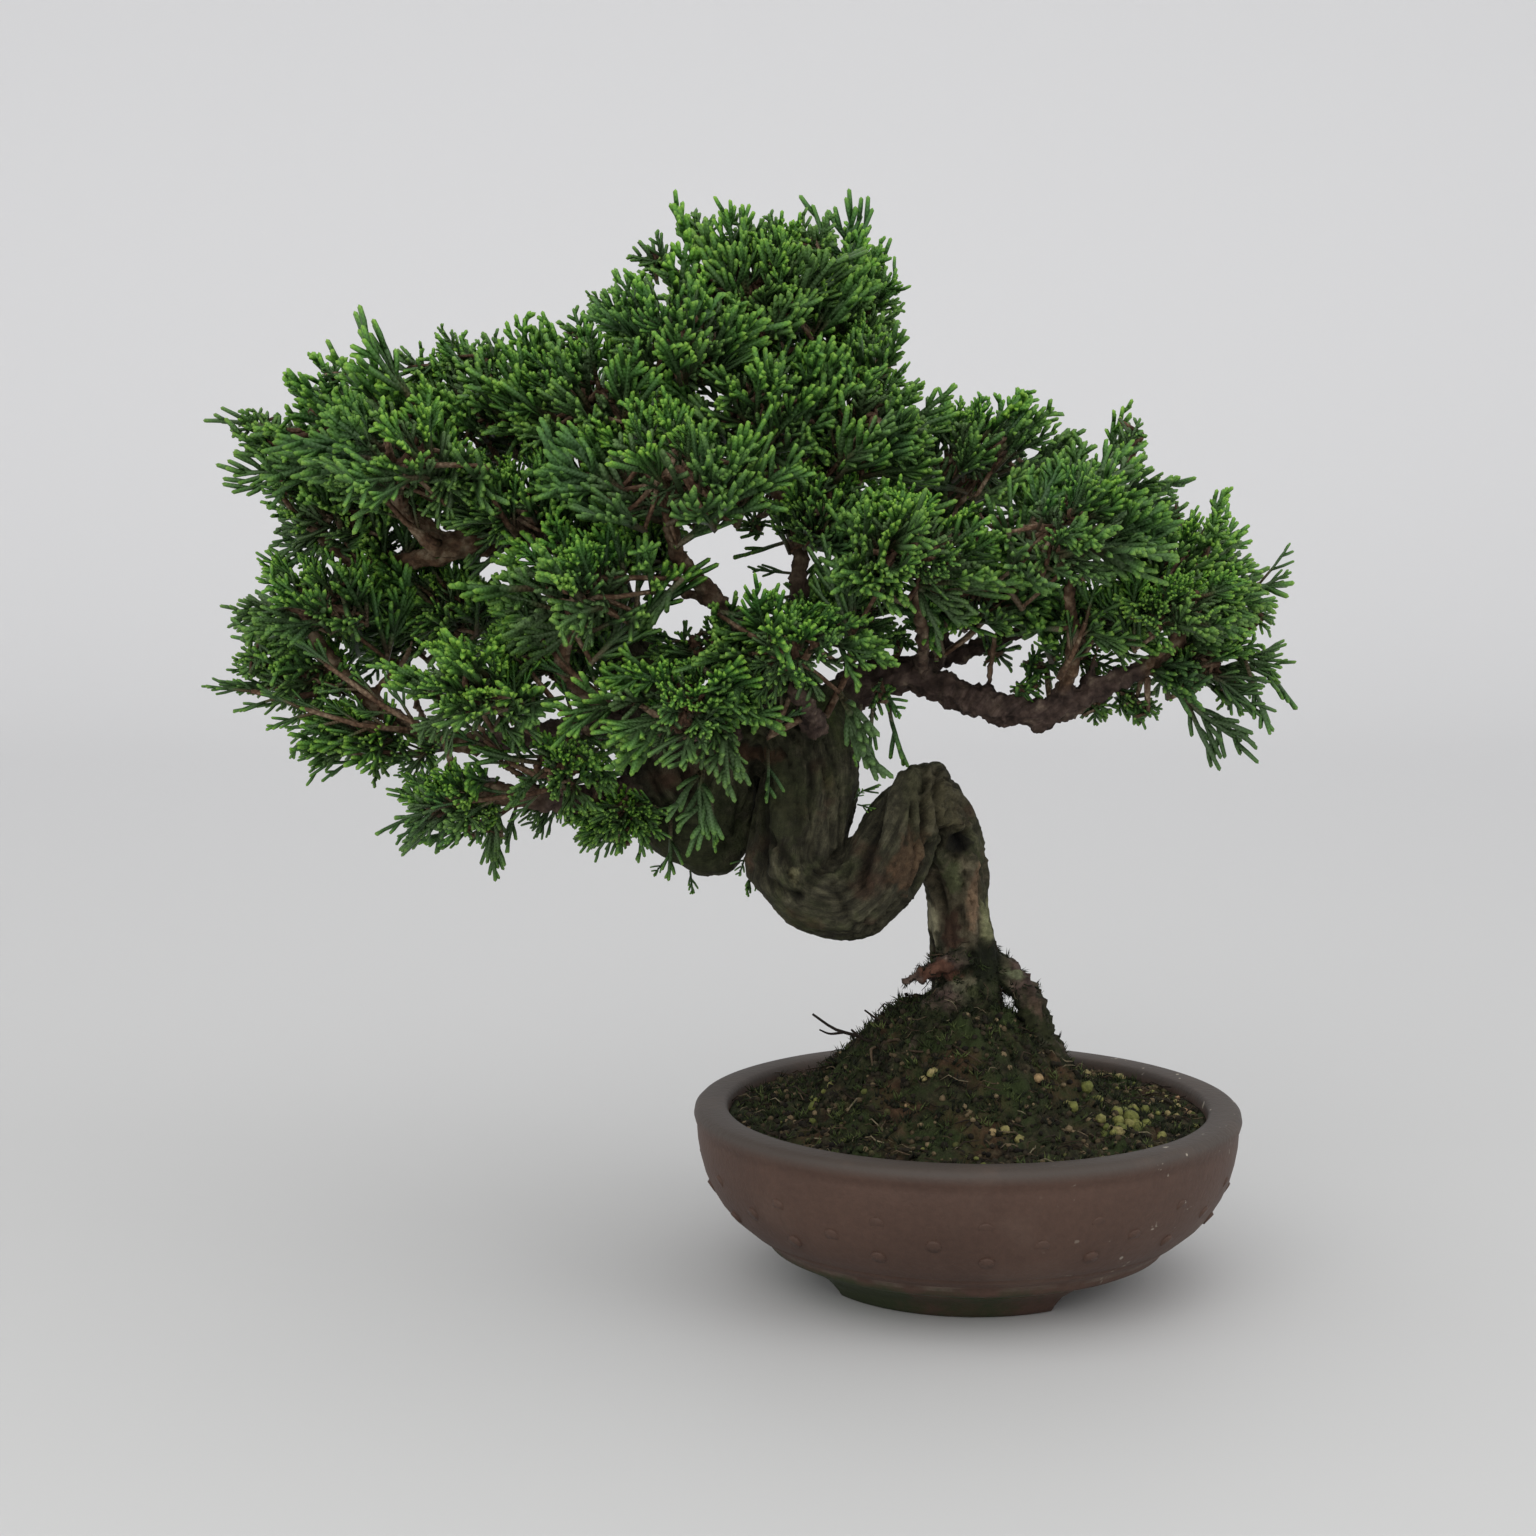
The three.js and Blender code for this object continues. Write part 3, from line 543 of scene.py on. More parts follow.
foliage = {  # shares are of a clump's own reach or size, and lengths are in mm
    "clumpSeed": 500,
    "betweenSeed": 61,
    "sprays": 40,
    "sprayScatter": 0.15,
    "growthScatter": 0.25,
    "outerSprays": 9,  # the ones that follow the solid's own outermost shoots
    "outerApart": 0.6,
    "outerLift": 0.35,
    "outerSlender": 0.65,
    "innerSprays": 18,
    "innerPaintedLight": 0.1,
    "branchlets": 6,
    "branchletShare": 0.3,
    "bareShare": 0.14,
    "tipShare": 0.92,
    "sizes": (0.66, 1.12),
    "sizeVary": (0.88, 1.05),
    "tone": (0.66, 0.34),  # painted light: how lit a spray is at the side of a clump, and how much more at its top
    "paintedLightVary": (-0.25, 0.2),
    "fresh": (0.45, 0.8),
    "freshRise": 0.35,
    "freshVary": (-0.4, 0.35),
    "reachShare": (0.78, 1.05),
    "innerShare": (0.5, 0.72),
    "lift": 0.4,
    "outward": 0.2,
    "crown": (-60, 0, 200),
    "flow": 0.65,
    "lowest": -0.78,  # no spray points further down than this, and fewer do than fewerBelow
    "fewerBelow": -0.35,
    "fewerShare": 0.35,
    "neighbourAway": 56,
    "neighbourShare": 0.66,  # no spray ends this far inside a neighbour
    "meetShare": 0.56,
    "meetMost": 1.3,
    "past": (1, -3.5, 1),  # how far past the solids' box a tip may lie, along each axis
    "branchletRadius": (1.15, 0.9),
    "twigletRadius": (0.85, 0.65),
    "fillerTwig": (1.1, 0.9, 0.7),
    "whipTwig": (1.2, 1.1, 0.9, 0.7),
    "sprigs": [  # small shoots straight from the old wood: place, growth and size
        (-31.5, -11, 143.0, (1, -0.3, 0.25), 0.42), (-32.5, -11, 139.5, (1, -0.5, -0.4), 0.36),
        (-33.5, -12, 141.0, (0.8, -0.6, 0.8), 0.3), (-80.5, 2, 118.5, (0.1, -0.3, -1), 0.46),
        (-88.0, 4, 121.0, (-0.7, -0.3, -0.6), 0.36), (-62.5, -4, 119.5, (-0.2, -0.3, -1), 0.5),
        (-60.5, -6, 118.5, (0.4, -0.4, -1), 0.4), (-64.5, -2, 123.0, (-0.5, -0.5, -0.8), 0.4),
    ],
    "fillers": [  # small bunches between the clumps: place, radius, sprays and kind
        (23, 10, 177, 7, 7, "tufted"), (36, 10, 179, 8, 8, "tufted"), (48, 2, 168, 6, 8, "inner"),
        (38, 4, 166, 5, 7, "inner"), (77, 0, 171, 6, 8, "inner"), (-55, 6, 297, 9, 9, "tufted"),
        (-62, 14, 220, 5, 7, "inner"), (-204, 0, 246, 6, 9, "inner"), (-147, 2, 266, 8, 6, "tufted"),
        (-160, 2, 152, 8, 8, "slender"), (-164, 22, 213, 7, 6, "tufted"), (-206, 0, 180, 5, 7, "inner"),
        (-202, -2, 243, 6, 8, "inner"), (-122, 0, 137, 7, 6, "slender"), (-24, -6, 168, 5, 5, "inner"),
        (-102, 2, 280, 7, 6, "tufted"), (51, -2, 165, 4, 6, "inner"), (-132, 24, 196, 8, 6, "tufted"),
        (-112, 2, 273, 6, 9, "inner"),
        (-45, 2, 299, 7, 10, "inner"), (-64, 2, 301, 6, 9, "inner"), (-160, 2, 263, 6, 8, "inner"),
        (-90, 2, 295, 6, 8, "inner"), (-198, 0, 229, 4, 6, "inner"), (17, -3, 171, 4, 6, "inner"),
        (-182, 0, 261, 4, 6, "inner"), (49, 2, 244, 5, 6, "inner"), (60, 4, 219, 5, 6, "inner"),
        (84, 0, 192, 4, 7, "inner"), (-19, 8, 184, 5, 7, "inner"), (-77, 2, 302, 5, 7, "inner"),
        (-173, 14, 178, 6, 6, "inner"), (10, 6, 182, 5, 5, "inner"), (-138, 2, 266, 6, 9, "inner"),
    ],
    "hanging": [  # long single sprays: place, growth and size
        (-24.0, -4, 170, (0.12, -0.1, -1), 0.9),
        (-28.0, -6, 168, (-0.05, -0.2, -1), 0.75), (-31.5, -10, 168, (-0.1, -0.2, -1), 0.7),
        (-137, 0, 136, (-0.05, -0.1, -1), 0.85), (-139, -2, 136, (0.12, -0.1, -1), 0.7),
        (-149, -2, 140, (-0.4, -0.2, -1), 0.7), (-129, -6, 143, (-0.2, -0.3, -1), 0.8),
        (78, -6, 180, (0.3, -0.2, -0.95), 0.95), (82, 0, 182, (0.5, -0.2, -0.8), 0.85),
        (-198, 0, 246, (-1, -0.1, 0.2), 0.85),
        (-186, 0, 165, (-0.6, -0.2, -0.8), 0.7), (-86, -2, 134, (0.05, -0.3, -1), 0.75),
        (-98, -10, 140, (-0.15, -0.4, -1), 0.7), (-93, -2, 138, (-0.1, -0.3, -1), 0.7),
        (-74, -14, 142, (0.1, -0.5, -1), 0.65), (-58, -20, 156, (0.1, -0.6, -1), 0.7),
        (-50, 16, 214, (-0.9, -0.2, -0.25), 0.8), (-49, 14, 204, (-1, -0.2, 0.1), 0.6),
        (-48, 12, 198, (-1, -0.1, -0.15), 0.62), (-50, 10, 191, (-1, -0.2, 0.2), 0.6),
        (-83, -6, 176, (0.15, -0.2, 1), 0.72), (-76, -6, 176, (0.05, -0.1, 1), 0.65),
        (-69, -6, 178, (0.1, -0.1, 1), 0.6), (-62, -6, 176, (0.1, 0, 1), 0.7),
    ],
    "whips": [  # thin bare twigs with a few sprays along them: from, to and sprays
        ((-104, -20, 149), (-145, -30, 142), 6), ((-108, -22, 161), (-124, -34, 180), 4),
        ((-122, -24, 149), (-136, -32, 160), 5), ((-150, -10, 158), (-182, -18, 180), 6),
        ((-158, -8, 160), (-190, -12, 167), 7), ((-136, -12, 146), (-154, -20, 139), 5),
        ((-150, 8, 154), (-180, 2, 153), 5), ((-188, 0, 170), (-206, -2, 171), 4),
        ((72, -4, 192), (82, -4, 202), 4),
        ((-100, -26, 168), (-120, -36, 188), 5), ((-152, -12, 214), (-166, -22, 228), 4),
        ((-58, -24, 160), (-50, -34, 176), 4), ((-70, -26, 164), (-78, -36, 174), 4),
        ((-128, 14, 140), (-146, 8, 130), 5),
        ((-36, -14, 176), (-34, -24, 192), 4), ((24, -16, 176), (30, -26, 192), 4),
        ((-126, -20, 214), (-134, -32, 228), 4),
    ],
    "bared": [  # where no spray hides the branch behind it: its place and the radius
        (-112, -8, 145, 4), (-124, -14, 147, 5), (-136, -16, 144, 4), (-109, -20, 162, 4),
        (-115, -28, 171, 4), (-160, 10, 163, 5), (-170, 4, 169, 4), (-160, -6, 220, 5),
        (-152, -4, 214, 5), (-40, -4, 172, 4), (28, -12, 186, 3), (-64, -12, 190, 4),
    ],
    "trims": [  # where no spray grows, seen from the front: x, z and radius
        (-214, 209, 9), (-210, 216, 6), (61, 241, 9), (52, 252, 6), (29, 259, 9), (-8, 269, 8),
        (-147, 115, 11), (-201, 268, 5), (-98, 303, 7), (-19, 299, 7), (-169, 135, 7), (84, 219, 7),
        (-81, 192, 7), (-75, 212, 7), (-182, 144, 7), (-116, 287, 4), (37, 251, 6), (-14, 264, 6),
        (-201, 260, 5), (-219, 247, 5), (-215, 199, 6), (-203, 218, 5), (-198, 153, 5), (-30, 309, 6),
        (-140, 286, 7), (97, 165, 9), (96, 153, 9), (66, 166, 4), (90, 170, 5), (-204, 167, 5),
        (-17, 271, 6), (-22, 157, 4), (-171, 276, 6), (-183, 275, 4),
    ],
}

leaf = leafMaterial()
twigBark = barkOfTwigs()
sprayMeshes = {}
for kind in ("tufted", "slender", "inner", "bare"):
    form = shoots[kind]
    sprayMeshes[kind] = [growSpray(kind, form["seed"] + i) for i in range(form["variants"])]
    print("sprays are grown:", kind)


def evenDirections(count, turn):
    # directions spread evenly over a ball
    spread = []
    for i in range(count):
        z = 1 - 2 * (i + 0.5) / count
        a = i * 2.39996 + turn  # each is a golden angle on from the last
        level = math.sqrt(1 - z * z)
        spread.append(Vector((level * math.cos(a), level * math.sin(a), z)))
    return spread


def readSpots(mesh, key="co"):
    values = np.empty(3 * len(mesh.vertices))
    mesh.vertices.foreach_get(key, values)
    return values.reshape(-1, 3)


woodSpots = np.unique(np.round(readSpots(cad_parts["trunk_and_branches"].data), 5), axis=0)
woodTree = kdtree.KDTree(len(woodSpots))
for index, spot in enumerate(woodSpots):
    woodTree.insert(Vector(spot), index)
woodTree.balance()


class Clump:
    # the middle of a clump's solid, and how far the solid goes each way from there
    def __init__(self, node):
        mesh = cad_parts[node].data
        spots = readSpots(mesh)
        corners = spots[[v for face in mesh.polygons for v in face.vertices]].reshape(-1, 3, 3)
        volumes = np.einsum("ij,ij->i", corners[:, 0], np.cross(corners[:, 1], corners[:, 2]))
        self.node = node
        self.centre = Vector((corners.sum(axis=1) / 4 * volumes[:, None]).sum(axis=0) / volumes.sum())
        away = np.unique(np.round(spots, 5), axis=0) - np.array(self.centre)
        self.lengths = np.linalg.norm(away, axis=1)
        self.spread = away / self.lengths[:, None]
        self.size = float(np.median(self.lengths))

    def reach(self, direction):
        facing = np.clip(self.spread @ np.array(direction), 0, 1)
        return float(np.max(self.lengths * facing**3))

    def holds(self, spot, share):
        away = spot - self.centre
        return away.length < share * self.reach(away.normalized())


def planOf(clump, neighbours, draw):
    # the direction, length and kind of each spray of a clump
    plan = []
    for i in np.argsort(-clump.lengths):
        way = Vector(clump.spread[i])
        if all(way.angle(other) > foliage["outerApart"] for other, _, _ in plan):
            plan.append((way, clump.lengths[i], "outer"))
        if len(plan) == foliage["outerSprays"]:
            break
    for way in evenDirections(2 * foliage["sprays"], anyTurn(draw)):
        way = (way + scatter(draw, foliage["sprayScatter"])).normalized()
        few = way.z < foliage["fewerBelow"]
        if way.z < foliage["lowest"] or (few and draw.random() < foliage["fewerShare"]):
            continue
        reach = clump.reach(way) * draw.uniform(*foliage["reachShare"])
        for other in neighbours:  # a spray towards a neighbour grows up to it, and not into it
            between = other.centre - clump.centre
            facing = max(0, way.dot(between.normalized()))
            most = min(foliage["meetShare"] * between.length, foliage["meetMost"] * reach)
            reach = max(reach, most * facing**4)
        tip = clump.centre + way * reach
        if any(other.holds(tip, foliage["neighbourShare"]) for other in neighbours):
            continue
        plan.append((way, reach, "even"))
    while len(plan) > foliage["sprays"]:
        plan.pop(draw.randrange(foliage["outerSprays"], len(plan)))
    for way in evenDirections(foliage["innerSprays"], anyTurn(draw)):
        plan.append((way, clump.reach(way) * draw.uniform(*foliage["innerShare"]), "inner"))
    return plan


def outside(tip):
    # whether a tip lies past the solids, or so near their front or back that its shoots do
    low, high = cadBounds
    past = Vector(foliage["past"]) * mm
    return any(not low[i] - past[i] < tip[i] < high[i] + past[i] for i in range(3))


def trimmed(tip, base):
    # whether a spray crosses a hollow of the crown or hides a bare branch, seen from the front
    eye = view["eye"]
    for spot in (tip, (2 * tip + base) / 3):
        away = (spot - potAxis) / mm
        grow = eye[1] / (eye[1] - away.y)
        x, z = eye[0] + (away.x - eye[0]) * grow, eye[2] + (away.z - eye[2]) * grow
        if any(math.hypot(x - tx, z - tz) < size for tx, tz, size in foliage["trims"]):
            return True
        if any(away.y < ty and math.hypot(x - tx, z - tz) < size for tx, ty, tz, size in foliage["bared"]):
            return True
    return False


def stamp(bm, shape, matrix, tone):  # a copy of a shape, moved, with its own pair of tones
    copy = shape.copy()
    copy.transform(matrix)
    copy.uv_layers["tone"].uv.foreach_set("vector", tone * len(copy.loops))
    absorb(bm, copy)


def addSpray(bm, shape, base, growth, size, turn, tone, fresh):
    matrix = standing(base, growth) @ Matrix.Rotation(turn, 4, "Z") @ Matrix.Scale(size, 4)
    stamp(bm, shape, matrix, [tone, fresh])


def within(value):
    return min(1, max(0, value))


def dressClump(clump, neighbours, number):
    draw = random.Random(foliage["clumpSeed"] + number)
    root = woodTree.find(clump.centre)[0]
    bm = bmesh.new()
    twigs = bmesh.new()
    hubs = evenDirections(foliage["branchlets"], anyTurn(draw))
    hubs = [clump.centre + way * foliage["branchletShare"] * clump.size for way in hubs]
    used = set()
    clumpFresh = draw.uniform(*foliage["fresh"])
    sideLitTone, topLitRise = foliage["tone"]
    outward = clump.centre - root
    outward = (outward - up * outward.z * 0.5).normalized() * foliage["outward"]
    flow = clump.centre - place(*foliage["crown"])
    outward += Vector((flow.x, flow.y * 0.6, flow.z)).normalized() * foliage["flow"]
    for way, reach, kind in planOf(clump, neighbours, draw):
        lift = foliage["lift"] * draw.uniform(0.3, 1.3) * (foliage["outerLift"] if kind == "outer" else 1)
        lift *= 1 + min(0, 1.2 * way.z)
        growth = (way + outward + up * lift + scatter(draw, foliage["growthScatter"])).normalized()
        slender = foliage["outerSlender"] if kind == "outer" else 0.5 - 0.5 * way.z
        form = "inner" if kind == "inner" else "slender" if draw.random() < slender else "tufted"
        if kind != "inner" and draw.random() < foliage["bareShare"]:
            form = "bare"
        length = shoots[form]["length"] * mm
        least, most = foliage["sizes"]
        size = min(most, max(least, reach * foliage["tipShare"] / length))
        size *= draw.uniform(*foliage["sizeVary"])
        tip = clump.centre + way * reach
        base = tip - growth * length * size
        if trimmed(tip, base) or outside(tip):
            continue
        shape = draw.choice(sprayMeshes[form])
        # painted light: inner sprays take the lowest tone, and the rest take a tone that rises towards the
        # clump's top
        tone, fresh = foliage["innerPaintedLight"], 0
        if kind != "inner":
            tone = within(sideLitTone + topLitRise * way.z + draw.uniform(*foliage["paintedLightVary"]))
            fresh = within(clumpFresh + foliage["freshRise"] * way.z + draw.uniform(*foliage["freshVary"]))
        addSpray(bm, shape, base, growth, size, anyTurn(draw), tone, fresh)
        if kind == "inner":
            continue
        k = min(range(len(hubs)), key=lambda k: (hubs[k] - base).length)
        used.add(k)
        middleWay = (hubs[k] + base) / 2 - growth * 0.6 * mm
        first, last = foliage["twigletRadius"]
        sweep(twigs, [hubs[k], middleWay, base + growth * 0.8 * mm],
              [first * mm, (first + last) / 2 * mm, last * mm], 4)
    for k in used:
        first, last = foliage["branchletRadius"]
        bend = (root + hubs[k]) / 2 - up * 1.2 * mm
        sweep(twigs, [root, bend, hubs[k]], [first * mm, first * mm, last * mm], 5)
    piece = finishObject(clump.node.replace("foliage_", "shoots_"), bm, leaf)
    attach(piece, "root")
    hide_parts(clump.node)
    bmesh.ops.recalc_face_normals(twigs, faces=twigs.faces[:])
    return meshOf("twigs", twigs)


def addFiller(bm, twigs, x, y, z, radius, count, kind, draw):
    centre = place(x, y, z)
    root = woodTree.find(centre)[0]
    radii = [r * mm for r in foliage["fillerTwig"]]
    sweep(twigs, [root, (root + centre) / 2 - up * mm, centre], radii, 4)
    flow = (centre - place(*foliage["crown"])).normalized() * foliage["flow"]
    for way in evenDirections(count, anyTurn(draw)):
        growth = (way + flow + scatter(draw, 0.3)).normalized()
        length = shoots[kind]["length"]
        size = draw.uniform(0.9, 1.15) * (radius + (5 if kind == "inner" else 4)) / length
        base = centre + way * radius * mm - growth * length * size * mm * 0.9
        turn, tone, fresh = anyTurn(draw), draw.uniform(0.3, 0.8), draw.uniform(0.2, 0.8)
        if trimmed(centre + way * radius * mm, base):
            continue
        addSpray(bm, draw.choice(sprayMeshes[kind]), base, growth, size, turn, tone, fresh)
        sweep(twigs, [centre, base + growth * mm], [radii[-1], 0.6 * mm], 3)


def addWhip(bm, twigs, start, end, count, draw):
    start, end = place(*start), place(*end)
    root = woodTree.find(start)[0]
    way = (end - start).normalized()
    bend = (start + end) / 2 - up * 1.5 * mm
    sweep(twigs, [root, start, bend, end], [r * mm for r in foliage["whipTwig"]], 5)
    for k in range(count):
        share = 0.25 + 0.75 * k / (count - 1)
        aside = way.cross(Vector((0, -1, 0.3))).normalized() * (-1) ** k * 0.7 * (1.15 - share)
        growth = (way + aside + scatter(draw, 0.2)).normalized()
        spot = start.lerp(end, share) - up * 4 * share * (1 - share) * mm
        size, turn = draw.uniform(0.5, 0.72), anyTurn(draw)
        tone, fresh = draw.uniform(0.5, 1), draw.random()
        addSpray(bm, draw.choice(sprayMeshes["bare"]), spot, growth, size, turn, tone, fresh)


clumps = [Clump(name) for name in sorted(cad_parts) if name.startswith("foliage_")]
allTwigs = bmesh.new()
for number, clump in enumerate(clumps):
    near = [c for c in clumps if c is not clump
            and (c.centre - clump.centre).length < foliage["neighbourAway"] * mm]
    absorb(allTwigs, dressClump(clump, near, number))
sprigMesh = bmesh.new()
draw = random.Random(foliage["betweenSeed"])
for kind, listed in (("inner", foliage["sprigs"]), ("bare", foliage["hanging"])):
    for x, y, z, growth, size in listed:
        shape, growth = draw.choice(sprayMeshes[kind]), Vector(growth).normalized()
        turn, fresh = anyTurn(draw), draw.uniform(0.3, 0.8)
        addSpray(sprigMesh, shape, place(x, y, z), growth, size, turn, 0.5, fresh)
for row in foliage["fillers"]:
    addFiller(sprigMesh, allTwigs, *row, draw)
for row in foliage["whips"]:
    addWhip(sprigMesh, allTwigs, *row, draw)
sprigs = finishObject("shoots_between", sprigMesh, leaf)
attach(sprigs, "root")
twiglets = finishObject("twiglets", allTwigs, twigBark)
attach(twiglets, "root")
print("foliage is grown:", len(clumps), "clumps")


# Trunk, roots and branches

trunk = {
    "voxel": 1.04,
    "smoothing": 6,
    "bark": {  # how high each kind of relief is, in mm
        "fold": 1.3, "crack": 1.6, "fibre": 0.5, "swell": 1.1, "fine": 0.32,
        "limbSwell": 1.1, "limbFlake": 1.5, "limbFine": 0.75,
    },
    "course": [  # x, y, z and radius down the middle of the bends, as in the solids
        (2, 1, 56, 13.5), (0, 2, 72, 11), (0.2, 4, 90, 9.8), (-1.4, 6, 109, 9.4), (-4.6, 5, 124, 9),
        (-8, 2, 133, 9.4), (-12, -3, 139.5, 10.2), (-17, -8, 137, 10.2), (-22, -11.5, 127.5, 11),
        (-28.5, -12, 117.4, 11.3), (-36, -10.5, 112.9, 11.8), (-45, -8, 115.4, 12.7), (-50, -6.5, 122, 13.6),
        (-48.5, -5, 133, 14), (-46, -3, 147, 14.2), (-49, 1, 158, 14), (-57, 6, 161.5, 13.6),
        (-67, 10, 154, 14.4), (-74, 12, 142, 15.5), (-80, 12, 135, 15.5), (-87, 10, 142, 13.6),
        (-91, 10, 156, 11.6), (-95, 10, 173, 9.8), (-103, 8, 192, 8.5), (-109, 6, 210, 7.4),
    ],
    "limbs": [  # down the middle of the thick branches, whose bark is old too
        [(-49, 3, 158), (-34, 6, 171), (-18, 6, 176), (-7, 2, 171), (9, -2, 166), (20, -4, 164),
         (42, -6, 175)],
        [(-20, 6, 175), (-5, 14, 180), (10, 20, 184)],
        [(-106, 7, 204), (-122, 2, 218)],
        [(-109, 6, 208), (-106, 10, 225), (-95, 12, 243)],
        [(-88, 4, 142), (-103, -6, 141), (-116, -12, 141)],
        [(-92, 11, 158), (-113, 20, 158), (-137, 22, 154)],
        [(-54, 6, 164), (-58, -4, 178), (-66, -12, 190)],
    ],
    "bulges": [  # place, radius and height
        (-19.3, -9, 147.2, 4.2, 5.2), (-77.5, 5, 119, 4.5, 3.0), (-72.5, 8, 122, 8, 3.2),
        (3, 4, 126, 6, 0.3), (-9.5, -4, 149, 4, 0.4), (-86, 4, 126, 6, 1.2), (-27, -14, 106, 7, 0.8),
    ],
    "grooves": [  # depth, half width and the line (x, z) down the front of the wood
        (1.7, 1.3, [(-57.2, 131.5), (-52.6, 124.2), (-49.7, 115.4)]),
        (1.5, 1.3, [(-38.8, 125.2), (-44.6, 120.1), (-48.6, 114.8)]),
        (1.6, 1.3, [(-61.8, 121.1), (-54.8, 116.6), (-50.3, 114.4)]),
        (2.4, 2.0, [(-59, 148), (-59.6, 135), (-60.2, 123)]),
        (1.9, 1.5, [(-30.8, 117), (-31.4, 126.2), (-27.8, 134.3), (-24.4, 145)]),
        (1.5, 1.3, [(-25, 119), (-22.7, 133.2), (-19.6, 144), (-18.4, 151.3)]),
        (1.5, 1.0, [(-16.9, 152), (-17.6, 141.6), (-16.2, 128)]),
        (1.8, 1.1, [(-13.4, 152), (-14.2, 141.3), (-12.6, 125)]),
        (1.3, 0.9, [(-9.6, 150), (-9.8, 139), (-8.3, 131)]),
        (2.3, 1.7, [(-16.5, 116), (-10.4, 127.9), (-5.7, 132)]),
        (2.4, 2.4, [(-2.3, 130), (-3.2, 124)]),
        (1.7, 1.1, [(-11.5, 126.5), (-6.5, 127.5), (0.5, 130)]),
        (1.6, 1.1, [(-0.6, 122), (-2.4, 110), (-1.2, 101), (1, 95)]),
        (1.2, 1.0, [(-9.4, 117), (-8, 107), (-7, 97)]),
        (1.3, 1.1, [(4.2, 119), (4, 109), (3.4, 98)]),
        (1.4, 1.2, [(-82, 148), (-78, 137), (-70, 127)]),
        (1.2, 1.1, [(-45, 152), (-46, 141), (-43, 130)]),
        (1.1, 1.0, [(-40, 118), (-35, 108), (-28, 105)]),
    ],
    "paint": [  # place (x, z), half width and height, lean in degrees, colour and strength
        (-10, 140, 12, 13, 0, (0.17, 0.152, 0.1), 0.68),
        (-2, 110, 11, 17, 0, (0.24, 0.205, 0.14), 0.7),
        (-17, 142, 4, 9, 0, (0.075, 0.078, 0.04), 0.7),
        (-4, 137, 4, 6, 10, (0.17, 0.15, 0.09), 0.5),
        (-10.2, 104, 1.5, 7.0, -10, (0.34, 0.32, 0.215), 0.95),
        (-5, 101.5, 3.4, 6.5, 0, (0.05, 0.022, 0.015), 0.9),
        (-4.6, 117, 3.2, 5.5, 0, (0.085, 0.105, 0.045), 0.8),
        (1.6, 111, 2.4, 10.5, 8, (0.22, 0.14, 0.09), 0.85),
        (6.2, 104.5, 2.8, 7.0, 0, (0.25, 0.26, 0.14), 0.9),
        # the next two near-black spots are painted shade in deep hollows of the wood
        (-2.8, 127, 4.0, 4.0, 0, (0.008, 0.008, 0.005), 0.95),
        (4.8, 92.5, 7.0, 7.0, 0, (0.01, 0.013, 0.005), 0.95),
        (-11, 86.3, 2.8, 2.3, 0, (0.25, 0.27, 0.17), 0.9),
        (-11, 86, 0.9, 0.8, 0, (0.02, 0.02, 0.012), 1.0),
        (-2.8, 87.1, 4.2, 2.8, 0, (0.19, 0.18, 0.12), 0.8),
        (13.6, 88.6, 3.2, 1.8, 20, (0.2, 0.22, 0.13), 0.9),
        (19.5, 79, 2.4, 4.5, -20, (0.17, 0.11, 0.085), 0.85),
        (21.5, 69.5, 2.8, 3.2, 0, (0.16, 0.165, 0.115), 0.85),
        (-18, 124.5, 5.5, 10, 18, (0.13, 0.077, 0.046), 0.75),
        (-8, 139.5, 6.0, 8.5, 0, (0.1, 0.09, 0.048), 0.65),
        (-54, 143, 9.0, 16, 0, (0.052, 0.058, 0.028), 0.75),
        (-50.5, 119.6, 1.7, 3.0, 0, (0.21, 0.2, 0.115), 0.95),
        (-78, 130, 15.0, 14.0, 0, (0.036, 0.045, 0.018), 0.8),
        (-10.5, 91.6, 10.5, 4.2, 16, (0.1, 0.046, 0.031), 0.95),
        (-63, 153, 9.0, 3.0, 0, (0.12, 0.055, 0.034), 0.7),
    ],
}


def besideCourse(spots):
    # for each point: how far along the trunk it is, its distance from the middle line against
    # the radius there, and the angle round it
    line, run = alongCurve(trunk["course"], 260)
    middle = line[:, :3] * mm + np.array(potAxis)
    radius = line[:, 3] * mm
    tangents = np.gradient(middle, axis=0)
    tangents /= np.linalg.norm(tangents, axis=1)[:, None]
    normals = np.zeros_like(middle)
    normals[0] = np.cross(tangents[0], [0, 1, 0])
    for i in range(1, len(middle)):
        n = normals[i - 1] - tangents[i] * np.dot(normals[i - 1], tangents[i])
        normals[i] = n / np.linalg.norm(n)
    binormals = np.cross(tangents, normals)
    nearest = np.empty(len(spots), int)
    for start in range(0, len(spots), 20000):
        part = spots[start:start + 20000]
        gaps = np.linalg.norm(part[:, None, :] - middle[None], axis=2) / radius[None]
        nearest[start:start + 20000] = np.argmin(gaps, axis=1)
    offset = spots - middle[nearest]
    ratio = np.linalg.norm(offset, axis=1) / radius[nearest]
    across, beside = [np.sum(offset * axes[nearest], axis=1) for axes in (normals, binormals)]
    angle = np.arctan2(beside, across)
    return run[nearest], ratio, angle, radius[nearest], middle[nearest]


def lineGap(flat, line):
    # the shortest way from each flat point to a line through the given ones
    best = np.full(len(flat), 1e9)
    for a, b in zip(np.array(line[:-1], float), np.array(line[1:], float)):
        run = b - a
        share = np.clip(((flat - a) @ run) / (run @ run), 0, 1)
        best = np.minimum(best, np.linalg.norm(flat - (a + share[:, None] * run), axis=1))
    return best


